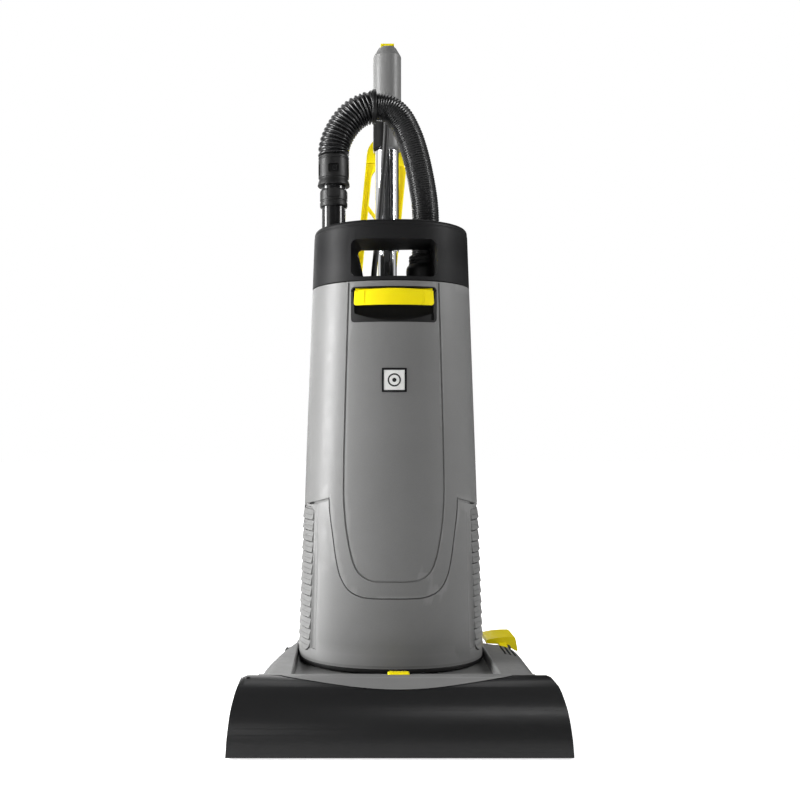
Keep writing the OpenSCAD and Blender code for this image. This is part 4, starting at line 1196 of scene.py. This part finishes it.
def build_wand():
    collar = turned("wand_collar", [(16.1, 693.2), (21.1, 693.2), (21.5, 693.8), (21.3, 695.4),
                                    (20.2, 699.4), (19.4, 701.2), (19.4, 702.6), (20.3, 703.4),
                                    (20.5, 705), (20.5, 727.2), (19.9, 728), (19.9, 729), (20.5, 729.8),
                                    (20.5, 731.6), (19.8, 732.8), (3, 732.8), (3, 725), (16.1, 725)],
                    "z", WAND_AXIS, 96, closed=True)
    x, y = WAND_X, HOSE_Y
    window = prism("window", round_rect(x - 7, 708, x + 7, 719, 1.6), y - 30, y - 17.6)
    frame = prism("frame", round_rect(x - 8.4, 706.6, x + 8.4, 720.4, 2.6), y - 22, y - 19.3)
    slits = [block("side_slit", (x + side * 19 - 4, y - 9, 706), (x + side * 19 + 4, y - 5, 721))
             for side in (-1, 1)]
    for slit in slits:
        cut(slit, rod("core", 18.8, 700, 725, "z", WAND_AXIS))
    outer = rod("outer", 20.9, 700, 724, "z", WAND_AXIS, 96)
    keep(frame, outer)
    join(collar, frame)
    cut(collar, window, *slits)
    dress(rounded(collar, 0.3), DEEP_BLACK, "wand", "hose_collar")
    clip = join(prism("clip", round_rect(x - 2.2, 709.4, x + 4.6, 717.6, 1.2), y - 19.6, y - 17.8),
                prism("clip_nub", round_rect(x - 1, 711, x + 3.4, 713.6, 0.8), y - 20.2, y - 18))
    dress(rounded(clip, 0.3), WAND, "wand")
    tube = turned("wand_pipe", [(14, 566), (15.6, 566), (16, 566.5), (16, 721.5), (15.6, 722), (14, 722)],
                  "z", WAND_AXIS, 96, closed=True)
    dress(shaded(tube), WAND, "wand", "wand_tube")
    ring = turned("wand_lock_ring", [(16.05, 665), (17.6, 665), (18.2, 665.8), (18.4, 667), (18.4, 670.6),
                                     (17.7, 671.4), (17.7, 673), (18.4, 673.8), (18.4, 684.6),
                                     (17.8, 686.8), (16.8, 688), (16.05, 688)], "z", WAND_AXIS, 96,
                  closed=True)
    tab = prism("tab", round_rect(x - 7.4, 676.5, x + 7.4, 687.4, 1.4), y - 18.35, y - 14)
    keep(tab, rod("outer", 18.35, 670, 690, "z", WAND_AXIS, 96))
    slot = block("tab_groove", (x - 8.4, y - 20, 675.6), (x + 8.4, y - 17.2, 676.6))
    cut(ring, prism("tab_room", round_rect(x - 8.2, 675.7, x + 8.2, 688.2, 1.8), y - 20, y - 16.3), slot)
    join(ring, tab)
    dress(rounded(ring, 0.25), DEEP_BLACK, "wand", "wand_ring")


# ------------------------------------------------------------------ handle

CAPSULE = 5
CAPSULE_POINTS = 72


def capsule(z, inset):
    """The grip's section at height z: two half circles joined by straight sides."""
    radius = (GRIP_HIGH.x - GRIP_LOW.x) / 2 - inset
    points = []
    for i in range(CAPSULE_POINTS):
        a = 2 * math.pi * (i + 0.5) / CAPSULE_POINTS
        points.append((radius * math.cos(a), TUBE_Y + math.copysign(CAPSULE, math.sin(a))
                       + radius * math.sin(a), z))
    return points


def build_grip():
    top = GRIP_HIGH.z
    rows = [(771, 1.2), (772.2, 0.2), (774, 0)] + [(790 + 14 * i, 0) for i in range(8)]
    rows += [(top - 13.4, 0), (top - 12.6, 0.25), (top - 1.0, 6.9), (top - 0.3, 7.6), (top, 8.4)]
    grip = loft("grip_body", [capsule(z, inset) for z, inset in rows])
    boss = turned("lead_boss", [(5.4, 815), (6.5, 816.2), (6.5, 829), (4.6, 831.4)], "z",
                  (-2, LEAD_Y, 0), 40)
    pivot_x, pivot_y, pivot_z = WINDER_PIVOT
    swivel = turned("swivel", [(11, pivot_y - 16), (11, pivot_y - 6.4), (10.2, pivot_y - 6.1),
                               (5, pivot_y - 6.1), (5, pivot_y + 6.2), (8, pivot_y + 6.2),
                               (8, pivot_y + 8.2), (6.8, pivot_y + 9), (3, pivot_y + 9),
                               (2.4, pivot_y + 8)], "y", (pivot_x, 0, pivot_z))
    join(grip, boss, swivel)
    bore = rod("tube_bore", 17.02, 765, top - 12, "z", TUBE_AXIS, 96)
    well = prism("switch_well", round_rect(-9.7, TUBE_Y - 14.5, 9.7, TUBE_Y + 14.5, 2), top - 6,
                 top + 2, "z")
    inlay = prism("inlay_room", [(-30, 80), (-2.3, 80), (-2.3, 121.5), (-30, 121.5)], 765, 814, "z")
    lock = prism("lock_room", round_rect(-6.3, 807.7, 6.3, 820.3, 1.2), 141.2, 152)
    line = [Vector((x, y, 817)) for x, y, z in capsule(817, 0.1)]
    collar = sweep("collar_line", line + line[:1], 0.7, 8, (0, 0, 1))
    seams = [sweep("side_seam", [Vector((side * 20.1, TUBE_Y, z)) for z in range(775, 901, 9)], 0.35, 8)
             for side in (-1, 1)]
    cut(grip, bore, well, inlay, lock, collar, *seams)
    dress(rounded(grip, 0.5), GREY, "handle", "grip_shell")
    panel = loft("grip_inlay_panel", [capsule(z, inset) for z, inset in
                                      [(771.2, 1.0), (772.4, 0.1), (800, 0), (812.6, 0), (813.7, 0.8)]])
    keep(panel, prism("limit", [(-30, 80), (-2.6, 80), (-2.6, 121.2), (-30, 121.2)], 765, 815, "z"))
    cut(panel, rod("core", 17.12, 765, 820, "z", TUBE_AXIS, 96))
    dress(rounded(panel, 0.4), MATT_BLACK, "handle", "grip_inlay")
    button = prism("lock_push", round_rect(-5.9, 808.1, 5.9, 819.9, 1.4), 143.6, 148.6)
    dots = [block("grip_line", (-4, 147.9, 810.6 + 2.4 * i), (4, 150, 811.4 + 2.4 * i)) for i in range(4)]
    dress(rounded(cut(button, *dots), 0.4), DEEP_BLACK, "lock", "lock_button")


def build_switch():
    top = GRIP_HIGH.z
    outline = smooth_path([(0, y + TUBE_Y, z + top) for y, z in
                           [(-13, 1.5), (-12.6, 3.6), (-10.5, 5.6), (-5, 7.6), (0, 8.5), (5, 8.9),
                            (9, 7.8), (12, 5.6), (13, 1.5)]], 1.2)
    rocker = prism("power_rocker", [(p.y, p.z) for p in outline], -9.4, 9.4, "x")
    dips = [sweep("thumb_line", [Vector((x, TUBE_Y + y, top + z + 0.55)) for x in (-7, 0, 7)], 0.9, 10,
                  (0, 0, 1)) for y, z in ((-6, 7.2), (-3, 7.95), (0, 8.5))]
    cut(rocker, *dips)
    rounded(rocker, 0.9, 3)
    axle = rod("rocker_axle", 3.5, -9.3, 9.3, "x", (0, TUBE_Y, top), 32)
    dress(rocker, YELLOW, "switch", "power_switch")
    dress(shaded(axle), YELLOW, "switch")


def build_tubes():
    upper = turned("upper_chrome_tube", [(14.4, 625.2), (16.4, 625), (17, 625.8), (17, 904.8), (14.4, 905)],
                   "z", TUBE_AXIS, 96, closed=True)
    dress(shaded(upper), CHROME, "handle", "upper_tube")
    lower = turned("lower_chrome_tube", [(12.5, 384), (14, 384), (14, 895.4), (13.5, 896), (12.5, 896)],
                   "z", TUBE_AXIS, 96, closed=True)
    dress(shaded(lower), CHROME, "body", "lower_tube")
    clamp = turned("tube_clamp_collar", [(14.05, 554.2), (19.4, 554.2), (20, 554.8), (20, 567), (19, 568),
                                         (19, 569), (20, 570), (20, 572.6), (18.6, 574.1), (14.05, 574.1)],
                   "z", TUBE_AXIS, 96, closed=True)
    split = block("split", (-1, TUBE_Y + 10, 553), (1, TUBE_Y + 25, 576))
    cut(clamp, split)
    dress(rounded(clamp, 0.3), DEEP_BLACK, "body", "tube_clamp")


def loop_line(radius, top, bottom):
    """Closed outline of a loop with two round ends."""
    return arc(0, top, radius, 0, 180, 28) + arc(0, bottom, radius, 180, 360, 28)


def build_winder():
    """A yellow loop of channel section, hung on the grip's swivel and leaning a little."""
    pivot, lean = Vector(WINDER_PIVOT), math.radians(5.5)

    def placed(name, outline, low, high):
        turned_line = [(pivot.x + x * math.cos(lean) + z * math.sin(lean),
                        pivot.z - x * math.sin(lean) + z * math.cos(lean)) for x, z in outline]
        return prism(name, turned_line, pivot.y + low, pivot.y + high)

    loop = placed("cord_winder_loop", loop_line(30, -18, -196), -6, 6)
    cut(loop, placed("opening", loop_line(20, -52, -196), -10, 10))
    channels = []
    for low, high in ((-7, -3.4), (3.4, 7)):
        outside = placed("channel", loop_line(27.6, -30, -196), low, high)
        cut(outside, placed("core", loop_line(22.4, -52, -196), low - 1, high + 1))
        cut(outside, placed("head", [(-32, -30), (32, -30), (32, 12), (-32, 12)], low - 1, high + 1))
        channels.append(outside)
    cut(loop, *channels)
    cut(loop, rod("swivel_hole", 5.06, 145, 165, "y", (pivot.x, 0, pivot.z), 48))
    rounded(loop, 0.7)
    dress(loop, YELLOW, "winder", "cord_winder")
    web = placed("winder_web", [(-20.4, -92), (-20.4, -100), (-9, -112), (9, -112), (20.4, -100),
                                (20.4, -92), (9.6, -104), (-9.6, -104)], -2, 2)
    dress(rounded(web, 0.5), YELLOW, "winder")


def build_glands():
    lead = turned("lead_gland", [(7.4, 557.7), (8, 558.4), (8, 561), (6.9, 561.4), (6.9, 562.6), (7.6, 563),
                                 (7.4, 565.4), (6.4, 565.8), (6.4, 567), (7.1, 567.4), (6.9, 569.6),
                                 (5.9, 570), (5.9, 571.2), (6.5, 571.6), (6.1, 575), (5, 575.9)], "z",
                  (-21, LEAD_Y, 0), 40)
    mains = turned("mains_gland", [(3.65, 115), (9, 115), (9, 117.4), (7.6, 118), (7.6, 120.4), (8.3, 121),
                                   (8.1, 124), (7.1, 124.6), (7.1, 126.8), (7.7, 127.4), (7.4, 130),
                                   (6.5, 130.6), (6.5, 133), (7.1, 133.6), (6.4, 141.4), (5.6, 142),
                                   (3.65, 142)], "y", (40, 0, 520), 40, closed=True)
    dress(shaded(merged("cord_glands", [lead, mains]), 30), RUBBER, "body", "cable_glands")


def build_cord_hook():
    foot = prism("hook_foot", round_rect(-17.8, 440.2, 17.8, 479.8, 4), 142.05, 147)
    arm = prism("hook_arm", [(145, 452), (145, 462), (171, 462), (173.6, 461), (175, 458.4), (175, 401.6),
                             (174, 400.2), (170.4, 400), (169.2, 401.2), (169, 404), (169, 452)],
                -10, 10, "x")
    lip = prism("hook_lip", [(169, 400.2), (175, 400.2), (175, 461), (169, 461)], -12, 12, "x")
    keep(lip, prism("limit", round_rect(-12, 400.1, 12, 461.5, 4), 160, 180))
    join(foot, arm, lip)
    for z in (444.5, 475.5):
        cut(foot, *[turned("screw_hole", [(2.4, 140), (2.4, 146), (3.6, 147.5)], "y", (x, 0, z), 24)
                    for x in (-12, 12)])
    foot.name = "cord_hook_bracket"
    dress(rounded(foot, 0.5), DEEP_BLACK, "body", "cord_hook")


# ------------------------------------------------------------------ filter bag, filters, motors

BAG_LOW, BAG_HIGH = box_mm("filter_bag")
BAG_POINTS = 56
PUFF_FRAMES = 20


def bag_section(z, half_w, half_d):
    """A soft rectangle's section, flatter towards the bag's ends."""
    middle = (BAG_LOW + BAG_HIGH) / 2
    return [(middle.x + half_w * signed_power(math.cos(a), 0.62),
             middle.y + half_d * signed_power(math.sin(a), 0.8), z)
            for a in [2 * math.pi * (i + 0.5) / BAG_POINTS for i in range(BAG_POINTS)]]


def puffed(piece, limit):
    """Blows a closed cloth up by simulation, letting no point move further than limit."""
    step = piece.modifiers.new("voxels", "REMESH")
    step.mode = "VOXEL"
    step.voxel_size = 5 * MM
    bake(piece)
    rest = [v.co.copy() for v in piece.data.vertices]
    cloth = piece.modifiers.new("cloth", "CLOTH")
    cloth.settings.quality = 5
    cloth.settings.use_pressure = True
    cloth.settings.uniform_pressure_force = 4
    cloth.settings.effector_weights.gravity = 0
    cloth.point_cache.frame_start, cloth.point_cache.frame_end = 1, PUFF_FRAMES
    for frame_number in range(1, PUFF_FRAMES + 1):
        bpy.context.scene.frame_set(frame_number)
    bake(piece)
    bpy.context.scene.frame_set(1)
    for vertex, start in zip(piece.data.vertices, rest):
        moved = vertex.co - start
        if moved.length > limit * MM:
            vertex.co = start + moved.normalized() * limit * MM
    return piece


def build_filter_bag():
    """A fleece pouch, blown up by the air in it, with a sewn edge and folds running from its ends."""
    low, high = BAG_LOW, BAG_HIGH
    half_w, half_d = (high.x - low.x) / 2 - 7, (high.y - low.y) / 2 - 9
    rows = []
    for i in range(31):
        t = i / 30
        z = low.z + 4 + (high.z - low.z - 8) * t
        close = (1 - abs(2 * t - 1) ** 4.5) ** 0.55
        rows.append(bag_section(z, half_w * (0.86 + 0.14 * close), max(1.2, half_d * close)))
    bag = loft("fleece_filter_bag", rows)
    puffed(bag, 9)
    step = bag.modifiers.new("finer", "SUBSURF")
    step.levels = 1
    bake(bag)
    middle = (low + high) / 2 * MM
    normals = [v.normal.copy() for v in bag.data.vertices]
    for vertex, normal in zip(bag.data.vertices, normals):
        p = vertex.co / MM
        ends = abs(2 * (p.z - low.z) / (high.z - low.z) - 1)
        fold = noise.noise(Vector((p.x * 0.085, p.y * 0.03, p.z * 0.012)))
        crumple = noise.noise(Vector((p.x * 0.05, p.y * 0.05, p.z * 0.045)) + Vector((7, 3, 1)))
        vertex.co += normal * (fold * (0.8 + 2.6 * ends ** 2) + crumple * 1.3) * MM
        for axis in range(3):
            vertex.co[axis] = min(max(vertex.co[axis], (low[axis] + 0.4) * MM), (high[axis] - 0.4) * MM)
        if abs(p.x) < 50 and p.z > 430:
            vertex.co.y = min(vertex.co.y, 41 * MM)
    dress(shaded(bag, 80), FLEECE, "body", "filter_bag")
    seams = []
    for z in (low.z + 3.6, high.z - 3.6):
        seam = round_rect(-half_w * 0.86, z - 3, half_w * 0.86, z + 3, 1.2)
        seams.append(prism("end_seam", seam, middle.y / MM - 0.9, middle.y / MM + 0.9))
    dress(shaded(merged("bag_end_seams", seams)), FLEECE, "body")


def build_filters():
    pleats, frames = [], []
    for side in (-1, 1):
        low, high = (84.2, 97.8) if side > 0 else (-97.8, -84.2)
        outline, back = [], []
        count, first, last = 44, 93.5, 228.5
        for i in range(count + 1):
            z = first + (last - first) * i / count
            x = low + 2.2 if i % 2 else high - 2.2
            outline.append((x - 0.5, z))
            back.append((x + 0.5, z))
        pleats.append(prism("pleats", outline + back[::-1], -17, 57))
        frame_bar = block("filter_frame", (low, -20, 90), (high, 60, 232))
        frames.append(cut(frame_bar, block("window", (low - 1, -17, first), (high + 1, 57, last))))
    dress(shaded(merged("exhaust_pleats", pleats), 20), FILTER, "body", "exhaust_filter")
    dress(rounded(merged("exhaust_frames", frames), 0.5), INNER, "body")
    disc = turned("motor_filter_pad", [(48.6, 212.1), (50, 213.4), (50, 234.4), (48.4, 235.9)], "z",
                  FAN_AXIS, 72)
    grooves = [block("groove", (-60, y - 0.7, 232.5), (60, y + 0.7, 240)) for y in range(-49, 43, 9)]
    dress(rounded(cut(disc, *grooves), 0.4), FILTER, "body", "motor_filter")


def build_motors():
    brush = [(3.06, 12), (21, 12), (23, 12.6), (24, 14), (24, 24), (23.2, 24.5), (23.2, 27), (24, 27.5),
             (24, 87), (23.2, 87.5), (23.2, 90), (24, 90.5), (24, 102), (23, 103.6), (12, 104), (10, 104.3),
             (10, 109.4), (9.4, 110), (3.06, 110)]
    can = turned("brush_motor_can", brush, "x", MOTOR_AXIS, 72, closed=True)
    dress(shaded(can, 30), MOTOR, "head", "brush_motor")
    fan = [(0.3, 75.1), (40, 75.1), (41.6, 75.8)]
    for i in range(13):
        radius = 42 if i % 2 else 40.4
        fan += [(radius, 78 + 6 * i), (radius, 83 + 6 * i)]
    fan += [(42, 157), (42, 160), (51.5, 160), (53.5, 161.6), (53.5, 208.6), (52.6, 209.9), (50.4, 209.9),
            (49.5, 209), (49.5, 166), (4.06, 166), (4.06, 140), (0.3, 140)]
    housing = turned("fan_motor_housing", fan, "z", FAN_AXIS, 96, closed=True)
    dress(shaded(housing, 30), MOTOR, "body", "fan_motor")


CAD_LOOKS = {
    INNER: ("head_base", "brush_roller", "suction_duct", "suction_elbow"),
    RUBBER: ("bumper_strip", "drive_belt"),
    DEEP_BLACK: ("sole_plate",),
    HOLDER_BLUE: ("bag_holder",),
    ZINC: ("roller_bearings", "motor_pulley", "wheel_axles", "front_roller_pins", "pedal_pin",
           "pivot_pins"),
    BLACKENED: ("latch_pin",),
    MOTOR: ("fan_impeller",),
}


def dress_cad_nodes():
    """Materials and softened edges for the CAD nodes that stay."""
    for material, nodes in CAD_LOOKS.items():
        for name in nodes:
            node = frame["nodes"][name]
            paint(node, material)
            bevel(node, 0.35, 2, 40)


place_camera()
place_lights()
place_floor()
build_hose()
build_lead()
for build in (build_door, build_lower_panel, build_vents, build_housing, build_cap, build_seal, build_latch,
              build_badge, build_front_cover, build_top_cover, build_pedal, build_release_button,
              build_springs, build_wheels, build_front_rollers, build_bristles, build_hose_cuff,
              build_wand, build_grip, build_switch, build_tubes, build_winder, build_glands,
              build_cord_hook, build_filter_bag, build_filters, build_motors, dress_cad_nodes):
    build()
